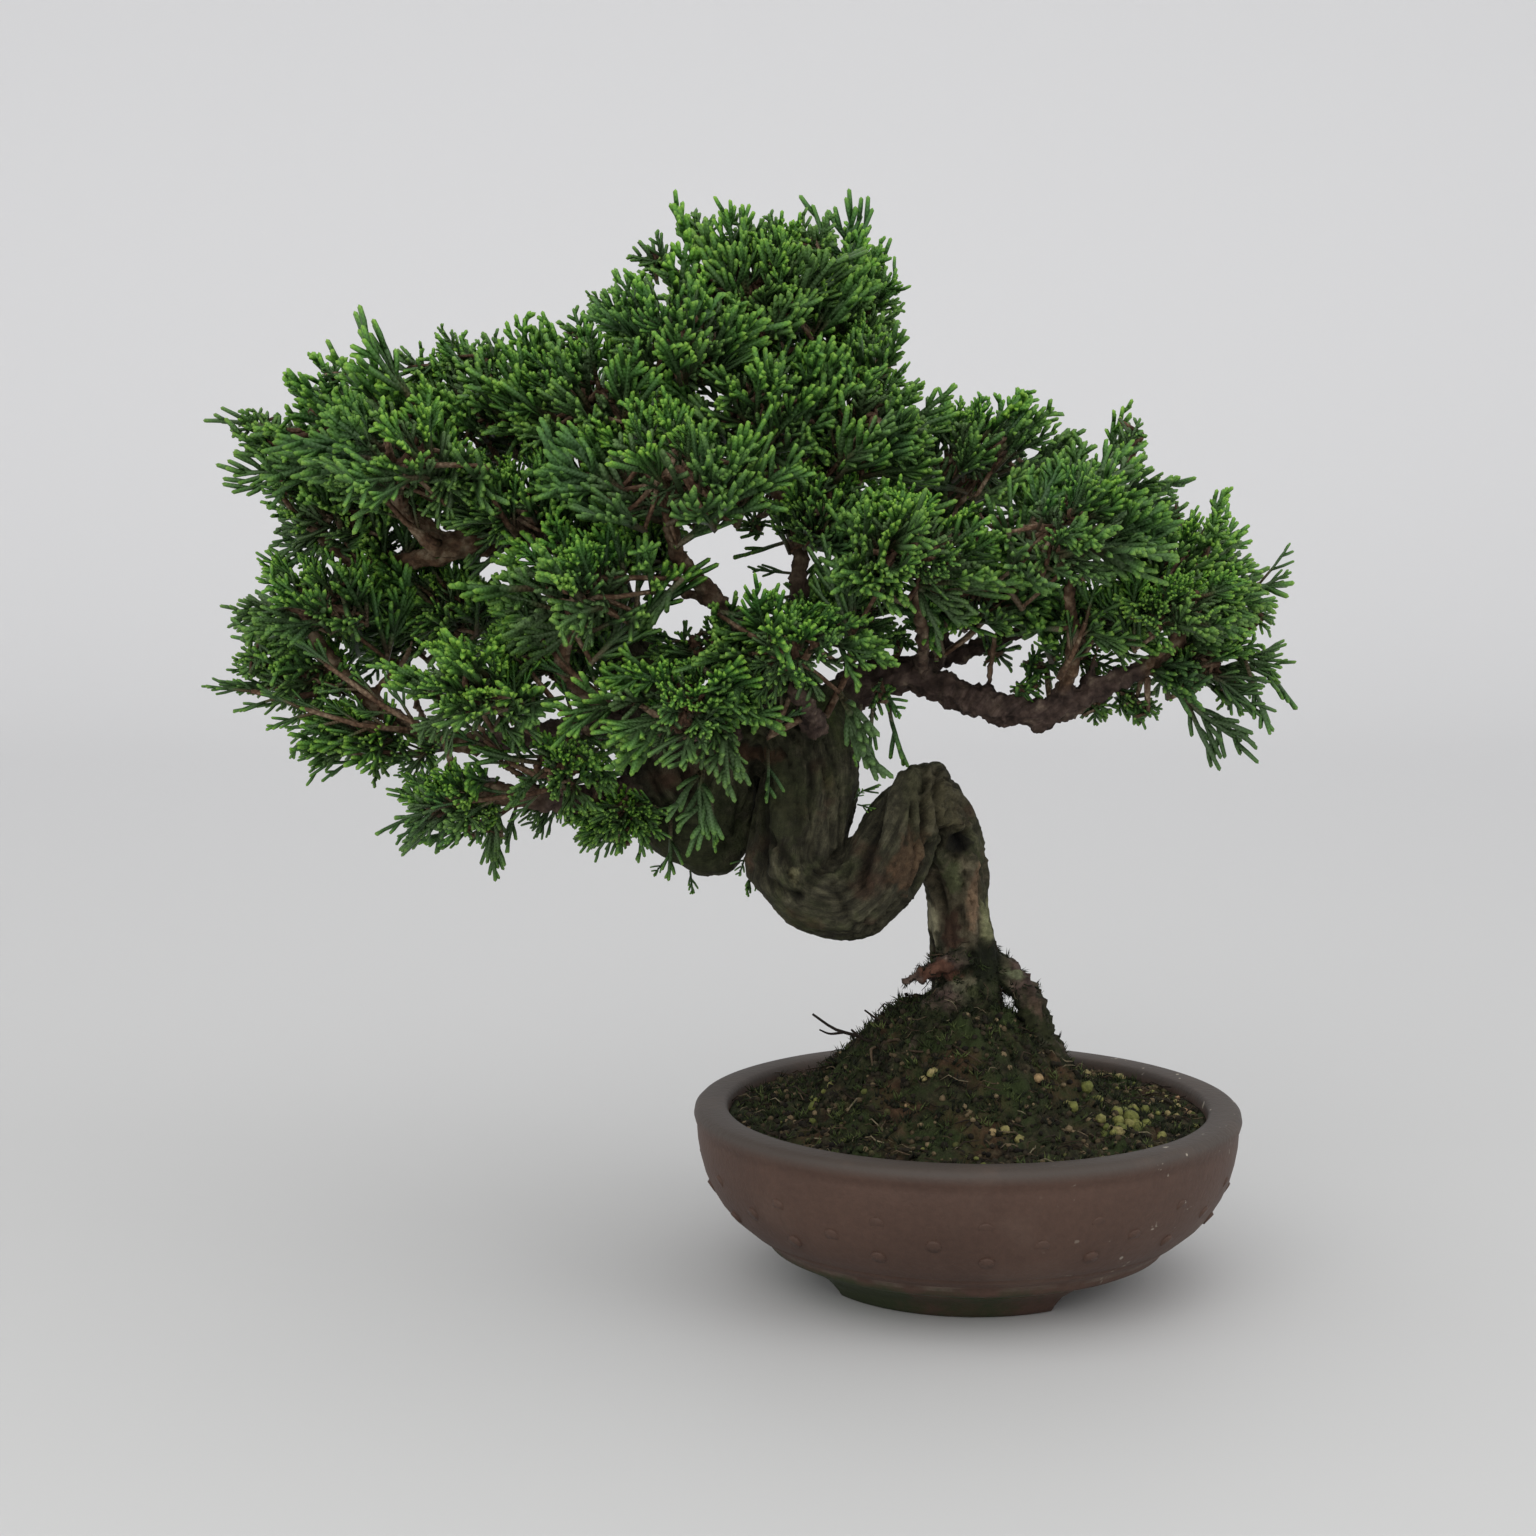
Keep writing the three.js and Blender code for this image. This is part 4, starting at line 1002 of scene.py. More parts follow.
def barkRelief(spots, run, ratio, angle, radius):
    # how far the bark stands out or in at each point, in millimetres
    onTrunk = 1 - smoothStep(1.2, 1.5, ratio)
    young = smoothStep(2.2, 4.5, ratio)
    local = (spots - np.array(potAxis)) * 1000
    for limb in trunk["limbs"]:
        young = np.minimum(young, smoothStep(6, 9.5, lineGap(local, limb)))
    relief = np.zeros(len(spots))
    high = trunk["bark"]
    for i in range(len(spots)):
        r = radius[i] * 1000
        c, s = math.cos(angle[i]) * r, math.sin(angle[i]) * r
        twist = run[i] * 0.03
        ct, st = math.cos(twist), math.sin(twist)
        gx, gy = c * ct - s * st, c * st + s * ct
        p = Vector(spots[i] * 1000)
        if onTrunk[i] > 0:
            fold = noise.noise(Vector((gx * 0.14, gy * 0.14, run[i] * 0.02)))
            crack = max(0, 1 - 5 * abs(noise.noise(Vector((gx * 0.2 + 9, gy * 0.2, run[i] * 0.024))))) ** 1.5
            fibre = noise.noise(Vector((gx * 0.55, gy * 0.55, run[i] * 0.06)))
            swell = noise.noise(p * 0.07)
            fine = noise.noise(p * 0.9)
            amount = 0.5 + max(0, noise.noise(p * 0.05 + Vector((3, 3, 3)))) * 1.6
            ribbed = 1 + 1.2 * smoothStep(58, 70, run[i]) * (1 - smoothStep(105, 120, run[i]))
            trunkPart = high["fold"] * fold - high["crack"] * crack + high["swell"] * swell
            trunkPart += high["fibre"] * amount * ribbed * fibre + high["fine"] * fine
            relief[i] += onTrunk[i] * trunkPart
        if onTrunk[i] < 1:
            flake = round(noise.noise(p * 0.5) * 4) / 4
            limbPart = high["limbSwell"] * noise.noise(p * 0.2) + high["limbFlake"] * flake
            limbPart += high["limbFine"] * noise.noise(p * 0.9)
            relief[i] += (1 - onTrunk[i]) * limbPart * (1 - 0.6 * young[i])
    return relief, onTrunk, young


def paintWood(mesh, spots, front):
    flat = (spots - np.array(potAxis))[:, (0, 2)] * 1000
    colour = np.zeros((len(spots), 4))
    wobble = np.array([noise.noise(Vector(p * 420)) + 0.6 * noise.noise(Vector(p * 1300)) for p in spots])
    for x, z, width, height, lean, tint, strength in trunk["paint"]:
        a = math.radians(lean)
        away = flat - np.array((x, z))
        across = (away[:, 0] * math.cos(a) - away[:, 1] * math.sin(a)) / width
        along = (away[:, 0] * math.sin(a) + away[:, 1] * math.cos(a)) / height
        inside = (1 - smoothStep(0.7, 1.1, np.hypot(across, along) + 0.45 * wobble)) * strength * front
        colour[:, :3] += (np.array(tint) - colour[:, :3]) * inside[:, None]
        colour[:, 3] = np.maximum(colour[:, 3], inside)
    layer = mesh.color_attributes.new("paint", "FLOAT_COLOR", "POINT")
    layer.data.foreach_set("color", colour.ravel())


def fineWood():  # the solid on a finer grid, softened
    bm = bmesh.new()
    bm.from_mesh(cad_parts["trunk_and_branches"].data)
    bmesh.ops.remove_doubles(bm, verts=bm.verts[:], dist=1e-6)
    wood = finishObject("bark_wood", bm)
    remesh = wood.modifiers.new("fine", "REMESH")
    remesh.mode = "VOXEL"
    remesh.voxel_size = trunk["voxel"] * mm
    soften = wood.modifiers.new("soften", "LAPLACIANSMOOTH")
    soften.lambda_factor = 0.6
    soften.lambda_border = 0
    soften.iterations = trunk["smoothing"]
    soften.use_volume_preserve = True
    bpy.context.view_layer.update()
    shape = wood.evaluated_get(bpy.context.evaluated_depsgraph_get())
    mesh = bpy.data.meshes.new_from_object(shape)
    wood.modifiers.clear()
    wood.data = mesh
    return wood


def moveSpots(mesh, spots):
    mesh.vertices.foreach_set("co", spots.ravel())
    mesh.update()


def roundTrunk(spots, run, ratio, angle, middle):  # the trunk's flat facets give way to a ribbed round
    weight = (1 - smoothStep(1.06, 1.3, ratio)) * smoothStep(0.7, 0.85, ratio) * smoothStep(4, 14, run)
    rib = 1 + 0.05 * np.sin(3 * angle + 0.03 * run) + 0.03 * np.sin(5 * angle - 0.045 * run)
    target = middle + (spots - middle) * (rib / np.maximum(ratio, 0.05))[:, None]
    return spots + (target - spots) * (0.85 * weight)[:, None]


def dressWood():
    wood = fineWood()
    mesh = wood.data
    spots = readSpots(mesh)
    run, ratio, angle, radius, middle = besideCourse(spots)
    spots = roundTrunk(spots, run, ratio, angle, middle)
    moveSpots(mesh, spots)
    normals = readSpots(mesh, "normal")
    relief, onTrunk, young = barkRelief(spots, run, ratio, angle, radius)
    front = smoothStep(0.0, 0.45, -normals[:, 1])
    flat = (spots - np.array(potAxis))[:, (0, 2)] * 1000
    for depth, width, line in trunk["grooves"]:
        gap = lineGap(flat, line) / width
        relief += front * depth * (0.35 * np.exp(-((gap - 1.9) ** 2) * 2) - np.exp(-gap**2))
    for x, y, z, width, height in trunk["bulges"]:
        away = np.linalg.norm(spots * 1000 - np.array(place(x, y, z)) * 1000, axis=1) / width
        relief += height * np.exp(-away**2)
    relief += 0.2 * onTrunk
    paintWood(mesh, spots, front)
    moveSpots(mesh, spots + normals * (relief * mm)[:, None])
    grain = mesh.attributes.new("grain", "FLOAT_VECTOR", "POINT")
    r = radius * 100
    grain.data.foreach_set("vector", np.stack([np.cos(angle) * r, np.sin(angle) * r, run * 0.1], 1).ravel())
    # the hollow share is painted shade, from how deep the relief sinks
    for key, values in (("trunkShare", onTrunk), ("young", young), ("hollowShade", np.clip(-relief / 2.6, 0, 1))):
        share = mesh.attributes.new(key, "FLOAT", "POINT")
        share.data.foreach_set("value", values)
    mesh.polygons.foreach_set("use_smooth", [True] * len(mesh.polygons))
    return wood


def barkMaterial():
    material, tree, shader = newMaterial("oldBark", 0.9, 0.2)
    spot = objectSpot(tree)
    grain = addNode(tree, "Attribute", {"attribute_name": "grain"}).outputs["Vector"]
    share, young, hollowShade = [addNode(tree, "Attribute", {"attribute_name": key}).outputs["Fac"]
                            for key in ("trunkShare", "young", "hollowShade")]
    paint = addNode(tree, "Attribute", {"attribute_name": "paint"}).outputs
    streaks, fibres = [
        cloudAt(tree, addNode(tree, "Mapping", Vector=grain, Scale=(1, 1, along)).outputs["Vector"], *cloud)
        for along, cloud in ((0.16, (6.0, 6.0, 0.66)), (0.1, (26.0, 4.0, 0.6)))
    ]
    trunkColour = ramp(tree, streaks, [
        (0.3, (0.02, 0.018, 0.012)), (0.46, (0.048, 0.045, 0.03)), (0.62, (0.088, 0.083, 0.054)),
        (0.8, (0.15, 0.14, 0.095)),
    ])
    trunkColour = mixed(tree, mottle(tree, spot, 52.0, 0.56, 0.7), trunkColour, (0.088, 0.055, 0.037))
    trunkColour = mossVeil(tree, spot, trunkColour, (0.045, 0.058, 0.02), 34.0, 0.32)
    limbColour = ramp(tree, mottle(tree, spot, 190.0, 0.3, 0.7, 6.0), [
        (0.0, (0.028, 0.019, 0.016)), (0.4, (0.07, 0.047, 0.041)), (0.7, (0.105, 0.074, 0.062)),
        (1.0, (0.2, 0.155, 0.12)),
    ])
    youngColour = ramp(tree, mottle(tree, spot, 260.0, 0.3, 0.7, 5.0), [
        (0.0, (0.045, 0.025, 0.017)), (0.45, (0.125, 0.075, 0.047)), (1.0, (0.33, 0.26, 0.185)),
    ])
    colour = mixed(tree, share, mixed(tree, young, limbColour, youngColour), trunkColour)
    colour = mixed(tree, paint["Alpha"], colour, paint["Color"])
    low = calc(tree, "MULTIPLY", greys(tree, parted(tree, spot)["Z"], 0.098, 0.078), 0.5)
    colour = mossVeil(tree, spot, colour, (0.024, 0.027, 0.011), 110.0, low)
    flecks = mottle(tree, spot, 300.0, 0.4, 0.6, 6.0)
    dim, bright = tinted(tree, colour, (0.72, 0.72, 0.7)), tinted(tree, colour, (1.25, 1.25, 1.2))
    colour = mixed(tree, flecks, dim, bright)
    worn = mottle(tree, grain, 40.0, 0.35, 0.65, 5.0)
    colour = mixed(tree, worn, tinted(tree, colour, (0.62, 0.6, 0.56)), colour)
    # painted shade: the bark is darkened to about a quarter where the relief sinks into grooves and cracks
    colour = mixed(tree, hollowShade, colour, tinted(tree, colour, (0.24, 0.22, 0.19)))
    flakes = addNode(tree, "TexVoronoi", Vector=spot, Scale=330.0).outputs["Distance"]
    cover(tree, shader, colour, mixed(tree, share, flakes, mixed(tree, 0.5, fibres, flecks)), 0.8, 0.001)
    return material


wood = dressWood()
wood.data.materials.append(barkMaterial())
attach(wood, "root")
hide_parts("trunk_and_branches")
print("wood is dressed:", len(wood.data.polygons), "faces")


# Pot

pot = {
    "around": 160,
    "outside": [  # radius and height from the hole in the floor round the foot to the lip
        (11, 6.5), (36, 6.5), (43, 6.7), (50, 7.6), (56, 9.4), (58, 10.4), (58.4, 11.4), (58.9, 12.7),
        (62.4, 14.7), (64.4, 16.1), (64.6, 16.7), (65.7, 17.2), (69.2, 20.2), (72.2, 23.8), (74.6, 27.8),
        (76.4, 32), (77.6, 36.4), (78.4, 41), (78.6, 44), (78.5, 45.6), (79.1, 46.5), (79.5, 48),
        (79.2, 49.6), (78.2, 50.6), (77, 51),
    ],
    "inside": [
        (74, 50.9), (71, 50.8), (70.1, 50.3), (69.7, 49.2), (69.1, 46), (68.4, 43), (66, 35), (63, 27),
        (58, 20.5), (52, 16.5), (44, 14), (11, 14),
    ],
    "foot": [
        (38.2, 8), (38.9, 1), (39.4, 0.2), (40.2, 0), (43.6, 0), (44.5, 0.3), (45.5, 2), (48, 5),
        (51.4, 7.3), (55.2, 9.7),
    ],
    "footArcs": [(-56, 28.5), (124, 208.5)],
    "footSteps": 48,
    "footSpread": 0.00625,  # the share by which each arc widens for a millimetre of height
    "bowlCentre": (30, 60),  # what the curve of the bowl turns about
    "studRadius": 2.4,
    "studRelief": (0.3, 0.7),
    "studRows": [(76.7, 34.5, 0.0), (74.9, 29, 0.5), (72.2, 24, 0.0)],
    "studCount": 16,
    "studSeed": 7,
}


def spinProfile(bm, profile, start, angle, steps):
    verts = [bm.verts.new(potAxis + towards(start) * r * mm + up * z * mm) for r, z in profile]
    edges = [bm.edges.new(pair) for pair in zip(verts, verts[1:])]
    edges.append(bm.edges.new((verts[-1], verts[0])))
    full = abs(angle) >= 2 * math.pi - 1e-6
    spun = bmesh.ops.spin(
        bm, geom=verts + edges, cent=potAxis, axis=(0, 0, 1), angle=angle, steps=steps, use_merge=full,
    )
    if not full:
        bmesh.ops.edgeloop_fill(bm, edges=edges)
        bmesh.ops.edgeloop_fill(bm, edges=newOf(spun["geom_last"], bmesh.types.BMEdge))


def dressPot():
    bm = bmesh.new()
    spinProfile(bm, pot["outside"] + pot["inside"], 0, 2 * math.pi, pot["around"])
    for low, high in pot["footArcs"]:
        count = len(bm.verts)
        spinProfile(bm, pot["foot"], low, math.radians(high - low), pot["footSteps"])
        bm.verts.ensure_lookup_table()
        middle = towards((low + high) / 2)
        for v in bm.verts[count:]:  # the ends of each arc lean outwards as they rise
            away = v.co - potAxis
            turn = middle.xy.angle_signed(away.xy) * pot["footSpread"] * v.co.z / mm
            v.co = potAxis + Matrix.Rotation(-turn, 3, "Z") @ away
    draw = random.Random(pot["studSeed"])
    middleRadius, middleHeight = pot["bowlCentre"]
    for radius, z, turn in pot["studRows"]:
        for i in range(pot["studCount"]):
            direction = towards((i + turn) * 360 / pot["studCount"] + draw.uniform(-1.2, 1.2))
            out = (direction * (radius - middleRadius) + up * (z - middleHeight)).normalized()
            worn = draw.uniform(*pot["studRelief"])
            seat = potAxis + direction * radius * mm + up * z * mm
            bmesh.ops.create_cone(
                bm, cap_ends=True, segments=16, radius1=pot["studRadius"] * mm,
                radius2=pot["studRadius"] * 0.82 * mm, depth=2 * worn * mm, matrix=standing(seat, out),
            )
    bmesh.ops.recalc_face_normals(bm, faces=bm.faces[:])
    return finishObject("stoneware_pot", bm, potMaterial())


def potMaterial():
    material, tree, shader = newMaterial("stoneware", 0.6, 0.3)
    local = addNode(tree, "Mapping", Vector=objectSpot(tree), Location=tuple(-potAxis)).outputs["Vector"]
    parts = parted(tree, local)
    height = parts["Z"]
    fine = mottle(tree, local, 560.0, 0.35, 0.72)
    colour = ramp(tree, mottle(tree, local, 20.0, 0.3, 0.7, 5.0), [
        (0.0, (0.062, 0.0335, 0.0235)), (1.0, (0.091, 0.05, 0.035)),
    ])
    colour = mixed(tree, fine, tinted(tree, colour, (0.84, 0.84, 0.84)), colour)
    colour = mixed(tree, greys(tree, height, 0.0468, 0.0495), colour, (0.06, 0.047, 0.039))
    # dust in the groove above the foot, lime specks on the right, and a thin veil of dust
    band = calc(tree, "COMPARE", height, 0.0127, 0.0009)
    band = calc(tree, "MULTIPLY", band, mottle(tree, local, 90.0, 0.4, 0.62))
    colour = mixed(tree, band, colour, (0.115, 0.082, 0.062))
    right = greys(tree, parts["X"], 0.012, 0.05)
    lime = calc(tree, "MULTIPLY", mottle(tree, local, 310.0, 0.705, 0.74, 1.5), right)
    colour = mixed(tree, lime, colour, (0.34, 0.3, 0.24))
    dust = calc(tree, "MULTIPLY", mottle(tree, local, 44.0, 0.52, 0.72, 8.0), 0.35)
    colour = mixed(tree, dust, colour, (0.12, 0.08, 0.06))
    # algae round the foot, more of it on the left
    amount = calc(tree, "MULTIPLY_ADD", greys(tree, parts["X"], 0.045, -0.03), 0.4, 0.18)
    amount = calc(tree, "MULTIPLY", amount, greys(tree, height, 0.0165, 0.0095))
    colour = mossVeil(tree, local, colour, (0.026, 0.034, 0.012), 46.0, amount)
    cover(tree, shader, colour, fine, 0.22, 0.0004)
    return material


stoneware = dressPot()
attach(stoneware, "root")
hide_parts("pot")
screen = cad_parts["drainage_screen"]
screen.material_slots[0].material = newMaterial("blackMesh", 0.45, 0.5, (0.018, 0.019, 0.018))[0]
print("pot is turned")


# Soil

soil = {  # lengths in mm
    "seed": 51,
    "level": 47.2,
    "mound": {"x": -5, "y": 0, "height": 34.3, "spread": 35, "power": 2.6},
    "heap": {"x": 24, "y": -5, "height": 3.5, "spread": 9},
    "edge": 69.2,
    "litterEdge": 67.5,
    "around": 230,
    "rings": 54,
    "under": [(0.02, 16), (50, 16), (57, 20.5), (62.4, 27.5), (67.6, 43)],  # radius and height
    "grains": 90,
    "grainSizes": (0.6, 1.2),
    "grainGroups": [  # middle, spread, count, least and most radius, least and most tone
        (44, -14, 6.0, 17, (1.3, 2.5), (0.45, 0.8)), (37, -30, 3.5, 5, (1.1, 2.0), (0.5, 0.9)),
        (24.5, -26, 2.5, 3, (1.5, 2.1), (0.6, 1.0)), (9, -41, 3.0, 4, (1.1, 1.8), (0.75, 0.95)),
        (-13, -31, 2.5, 5, (1.1, 1.9), (0.8, 1.0)), (-44, -16, 5.0, 7, (0.9, 1.7), (0.5, 0.8)),
        (-27, -31, 6.0, 4, (0.9, 1.4), (0.3, 0.7)), (57, -3, 5.0, 14, (0.7, 1.3), (0.7, 1.0)),
        (60, 22, 5.0, 9, (0.6, 1.2), (0.6, 1.0)), (49, 42, 5.0, 5, (1.3, 2.6), (0.85, 1.0)),
        (-52, 30, 8.0, 5, (0.9, 1.5), (0.3, 0.6)),
    ],
    "crumbs": 2200,
    "crumbSizes": (0.4, 1.25),
    "mossTufts": 2300,
    "mossSizes": (0.9, 1.9),
    "woodTufts": 420,
    "woodTuftSizes": (0.7, 1.5),
    "fibres": 760,
    "fibreSizes": (3, 9),
    "woodFibres": 60,
    "woodFibreSizes": (3, 7),
    "roots": [  # surface roots and dead twigs: tone, radius and the points along each
        (0.05, 0.6, [(-25, -4, 69), (-34, -4, 71.5), (-39, -3, 73), (-45, -2, 77)]),
        (0.05, 0.42, [(-36, -4, 72), (-40, -5, 71.8), (-43, -6, 73.2)]),
        (0.1, 0.5, [(-24, -8, 70), (-30, -10, 71), (-34, -12, 74.5)]),
        (0.1, 0.45, [(-20, -6, 74), (-26, -6, 76.2), (-30, -5, 78.8)]),
        (0.8, 0.45, [(-26, -12, 69), (-28.5, -15, 69.5), (-28, -20, 64), (-29.5, -22, 59)]),
        (0.66, 0.5, [(-25, -14, 71), (-21, -18, 73), (-18, -21, 70.5), (-14, -23, 70.5)]),
        (0.62, 0.36, [(-6, -22, 72.5), (-2, -25, 70.5), (2, -28, 68.5)]),
        (0.6, 0.5, [(-46, -28, 50), (-38, -33, 50.5), (-30, -35, 52.5), (-24, -37, 51.5)]),
        (0.5, 0.5, [(-56, 6, 49), (-48, -2, 51), (-40, -6, 54.5)]),
    ],
}


def soilHeight(x, y):  # millimetres
    hill, heap = soil["mound"], soil["heap"]
    far = math.hypot(x - hill["x"], y - hill["y"]) / hill["spread"]
    near = math.hypot(x - heap["x"], y - heap["y"]) / heap["spread"]
    edge = within((70 - math.hypot(x, y)) / 10)
    rise = hill["height"] * math.exp(-far ** hill["power"]) + heap["height"] * math.exp(-near**2)
    lumps = 0.9 * math.sin(x * 0.31 + 1.7) * math.sin(y * 0.27 + 0.4) + 0.5 * math.sin(x * 0.83 - y * 0.6)
    crumbs = 2.6 * noise.noise(Vector((x * 0.3, y * 0.3, 3))) + 1.5 * noise.noise(Vector((x, y, 9)))
    return soil["level"] + rise + (lumps + crumbs) * edge


def dressSoil():
    bm = bmesh.new()
    count = soil["rings"]
    radii = [soil["edge"] * (1 - i / count) for i in range(count)] + [0.02]
    profile = soil["under"] + [(r, soil["level"]) for r in radii]
    spinProfile(bm, profile, 0, 2 * math.pi, soil["around"])
    for v in bm.verts:
        if v.co.z > (soil["level"] - 0.01) * mm:
            spot = (v.co - potAxis) / mm
            v.co.z = soilHeight(spot.x, spot.y) * mm
    bmesh.ops.remove_doubles(bm, verts=bm.verts[:], dist=0.00004)
    bmesh.ops.recalc_face_normals(bm, faces=bm.faces[:])
    return finishObject("soil_mound", bm, soilMaterial())


def shapeOf(name, bm):
    mesh = meshOf(name, bm)
    mesh.uv_layers.new(name="tone")
    return mesh


def lump(subdivisions, seed):
    draw = random.Random(seed)
    bm = bmesh.new()
    bmesh.ops.create_icosphere(bm, subdivisions=subdivisions, radius=1)
    for v in bm.verts:
        v.co *= draw.uniform(0.84, 1.1)
    return shapeOf(f"lump{seed}", bm)


def mossTuft(seed):
    draw = random.Random(seed)
    bm = bmesh.new()
    for _ in range(5):
        lean = Matrix.Rotation(draw.uniform(-0.9, 0.9), 4, "X")
        lean = lean @ Matrix.Rotation(draw.uniform(-0.9, 0.9), 4, "Y")
        foot = Matrix.Translation((draw.uniform(-0.7, 0.7), draw.uniform(-0.7, 0.7), 0))
        bmesh.ops.create_cone(
            bm, cap_ends=True, segments=3, radius1=0.17, radius2=0, depth=1.8,
            matrix=foot @ lean @ Matrix.Translation((0, 0, 0.7)),
        )
    return shapeOf(f"moss{seed}", bm)


def fibre(seed):  # a bit of dead root about one unit long
    draw = random.Random(seed)
    bm = bmesh.new()
    points = [Vector((share - 0.5, draw.uniform(-0.16, 0.16), draw.uniform(-0.02, 0.3) * rise))
              for share, rise in ((0, 0.1), (0.35, 1), (0.7, 1), (1, 0.6))]
    sweep(bm, points, (0.026, 0.036, 0.03, 0.014), 3)
    return shapeOf(f"fibre{seed}", bm)


def onSoil(x, y):
    return place(x, y, soilHeight(x, y)), up


def soilSeats(count, where, draw):
    seats = []
    while len(seats) < count:
        x, y = draw.uniform(-68, 68), draw.uniform(-68, 68)
        if math.hypot(x, y) < soil["litterEdge"] and draw.random() < where(x, y):
            seats.append(onSoil(x, y))
    return seats


def groupSeats(x, y, spread, count, draw):
    seats = []
    while len(seats) < count:
        px, py = draw.gauss(x, spread), draw.gauss(y, spread)
        if math.hypot(px, py) < 67:
            seats.append(onSoil(px, py))
    return seats


def woodSeats(count, draw):  # on the foot of the trunk, less and less with height
    spots, normals = readSpots(wood.data), readSpots(wood.data, "normal")
    seats = []
    while len(seats) < count:
        k = draw.randrange(len(spots))
        spot = Vector(spots[k])
        x, y, z = (spot - potAxis) / mm
        side = 0.25 if x > 13 else 1.3 if x > -4 else 0.9
        if z > soilHeight(x, y) - 1 and draw.random() < side * (101 - z) / 26:
            seats.append((spot, Vector(normals[k])))
    return seats


def strew(bm, shapes, seats, sizes, draw, sink=0.0, squash=(0.7, 1.0), tones=(0, 1)):
    # a copy of one of the shapes on each seat, which is a spot and the way it faces
    for spot, facing in seats:
        size = draw.uniform(*sizes) * mm
        matrix = standing(spot + facing * size * sink, facing)
        matrix = matrix @ Matrix.Rotation(anyTurn(draw), 4, "Z")
        matrix = matrix @ Matrix.Rotation(draw.uniform(-0.5, 0.5), 4, "X")
        width, height = size * draw.uniform(*squash), size * draw.uniform(*squash)
        matrix = matrix @ Matrix.Diagonal((size, width, height, 1))
        stamp(bm, draw.choice(shapes), matrix, [draw.uniform(*tones), 0])


def edgeShare(x, y):  # the loose grains lie near the rim, at the front and the right
    far = math.hypot(x, y) / 68
    front = 0.5 + 0.5 * (x * 0.6 - y) / 68
    return max(0.04, far**4 * front)


def mossShare(x, y):
    patch = noise.noise(Vector((x * 0.06, y * 0.06, 2.5)))
    near = math.exp(-(math.hypot(x + 6, y) / 44) ** 2)
    return min(1, max(0.08, 0.3 + 1.1 * patch + 0.75 * near))


def soilMaterial():
    material, tree, shader = newMaterial("darkSoil", 0.95, 0.15)
    spot = objectSpot(tree)
    crumbs = mottle(tree, spot, 420.0, 0.2, 0.8, 6.0)
    colour = ramp(tree, crumbs, [
        (0.15, (0.009, 0.0078, 0.005)), (0.5, (0.025, 0.021, 0.013)), (0.75, (0.068, 0.055, 0.033)),
    ])
    rusty = mixed(tree, crumbs, (0.03, 0.017, 0.009), (0.095, 0.054, 0.03))
    colour = mixed(tree, mottle(tree, spot, 55.0, 0.5, 0.62), colour, rusty)
    colour = mossVeil(tree, spot, colour, (0.03, 0.042, 0.014), 70.0, 0.4)
    cover(tree, shader, colour, crumbs, 1.0, 0.0015)
    return material


def toneMaterial(name, roughness, stops):
    material, tree, shader = newMaterial(name, roughness, 0.2)
    speckle = mottle(tree, objectSpot(tree), 900.0, 0.35, 0.65, 4.0)
    colour = ramp(tree, uvParts(tree, "tone")["X"], stops)
    colour = mixed(tree, speckle, tinted(tree, colour, (0.55, 0.55, 0.55)), colour)
    cover(tree, shader, colour, speckle, 0.5, 0.0004)
    return material


ground = dressSoil()
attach(ground, "root")
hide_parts("soil")

draw = random.Random(soil["seed"])
grainMesh, crumbMesh, mossMesh, fibreMesh = (bmesh.new() for _ in range(4))
grainShapes = [lump(2, 20 + i) for i in range(5)]
seats = soilSeats(soil["grains"], edgeShare, draw)
strew(grainMesh, grainShapes, seats, soil["grainSizes"], draw, 0.2, tones=(0, 0.75))
for x, y, spread, count, sizes, tones in soil["grainGroups"]:
    seats = groupSeats(x, y, spread, count, draw)
    strew(grainMesh, grainShapes, seats, sizes, draw, 0.35, (0.75, 1.0), tones)
crumbShapes = [lump(1, 30 + i) for i in range(5)]
seats = soilSeats(soil["crumbs"], lambda x, y: 0.5, draw)
strew(crumbMesh, crumbShapes, seats, soil["crumbSizes"], draw, 0.25)
mossShapes = [mossTuft(40 + i) for i in range(6)]
seats = soilSeats(soil["mossTufts"], mossShare, draw)
strew(mossMesh, mossShapes, seats, soil["mossSizes"], draw, 0, (0.8, 1.3))
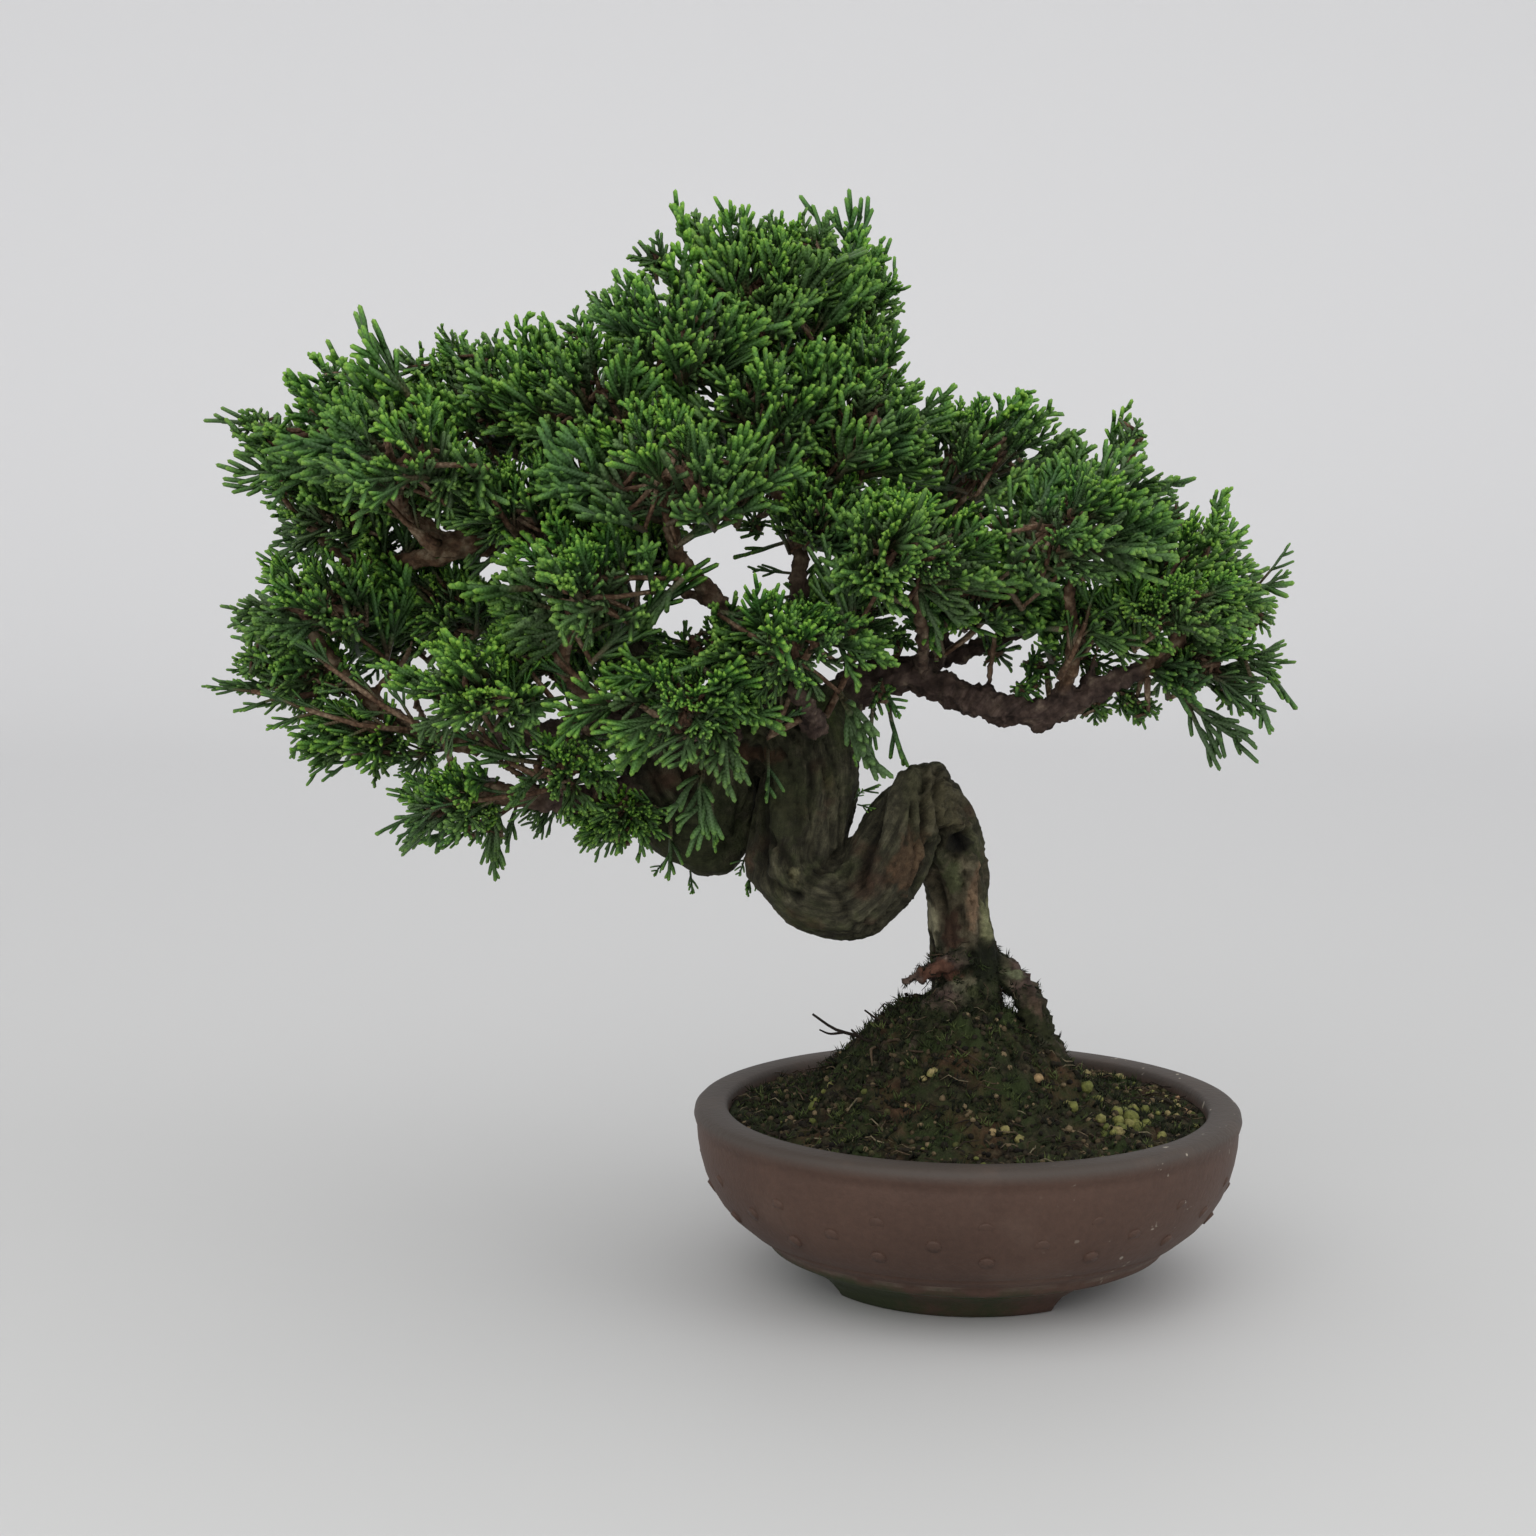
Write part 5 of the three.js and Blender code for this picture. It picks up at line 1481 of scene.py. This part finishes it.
seats = woodSeats(soil["woodTufts"], draw)
strew(mossMesh, mossShapes, seats, soil["woodTuftSizes"], draw, 0, (0.8, 1.3), (0, 0.8))
fibreShapes = [fibre(60 + i) for i in range(8)]
seats = soilSeats(soil["fibres"], lambda x, y: 0.5, draw)
strew(fibreMesh, fibreShapes, seats, soil["fibreSizes"], draw, 0.04)
seats = woodSeats(soil["woodFibres"], draw)
strew(fibreMesh, fibreShapes, seats, soil["woodFibreSizes"], draw, 0.04)
for tone, radius, points in soil["roots"]:
    root = bmesh.new()
    path, _ = alongCurve(points, 9)
    sweep(root, [place(*spot) for spot in path], [radius * mm * (1.1 - 0.06 * k) for k in range(9)], 5)
    stamp(fibreMesh, shapeOf("root", root), Matrix.Identity(4), [tone, 0])
litter = [
    ("grains", grainMesh, "potGrains", 0.8, [
        (0.0, (0.03, 0.024, 0.014)), (0.35, (0.06, 0.05, 0.022)), (0.55, (0.11, 0.13, 0.03)),
        (0.75, (0.21, 0.21, 0.06)), (0.9, (0.33, 0.27, 0.12)), (1.0, (0.4, 0.24, 0.13)),
    ]),
    ("crumbs", crumbMesh, "soilCrumbs", 0.95, [
        (0.0, (0.008, 0.0065, 0.0045)), (0.6, (0.032, 0.026, 0.016)), (0.82, (0.09, 0.066, 0.036)),
        (1.0, (0.24, 0.18, 0.1)),
    ]),
    ("moss", mossMesh, "mossGreen", 0.85, [
        (0.0, (0.011, 0.012, 0.007)), (0.5, (0.022, 0.03, 0.011)), (0.85, (0.05, 0.072, 0.021)),
        (1.0, (0.13, 0.16, 0.05)),
    ]),
    ("root_fibres", fibreMesh, "deadRoots", 0.85, [
        (0.0, (0.014, 0.01, 0.007)), (0.6, (0.05, 0.033, 0.02)), (0.85, (0.13, 0.09, 0.055)),
        (1.0, (0.3, 0.26, 0.16)),
    ]),
]
for name, bm, materialName, roughness, stops in litter:
    piece = finishObject(name, bm, toneMaterial(materialName, roughness, stops))
    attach(piece, "root")
print("soil, grains, moss and fibres are laid")
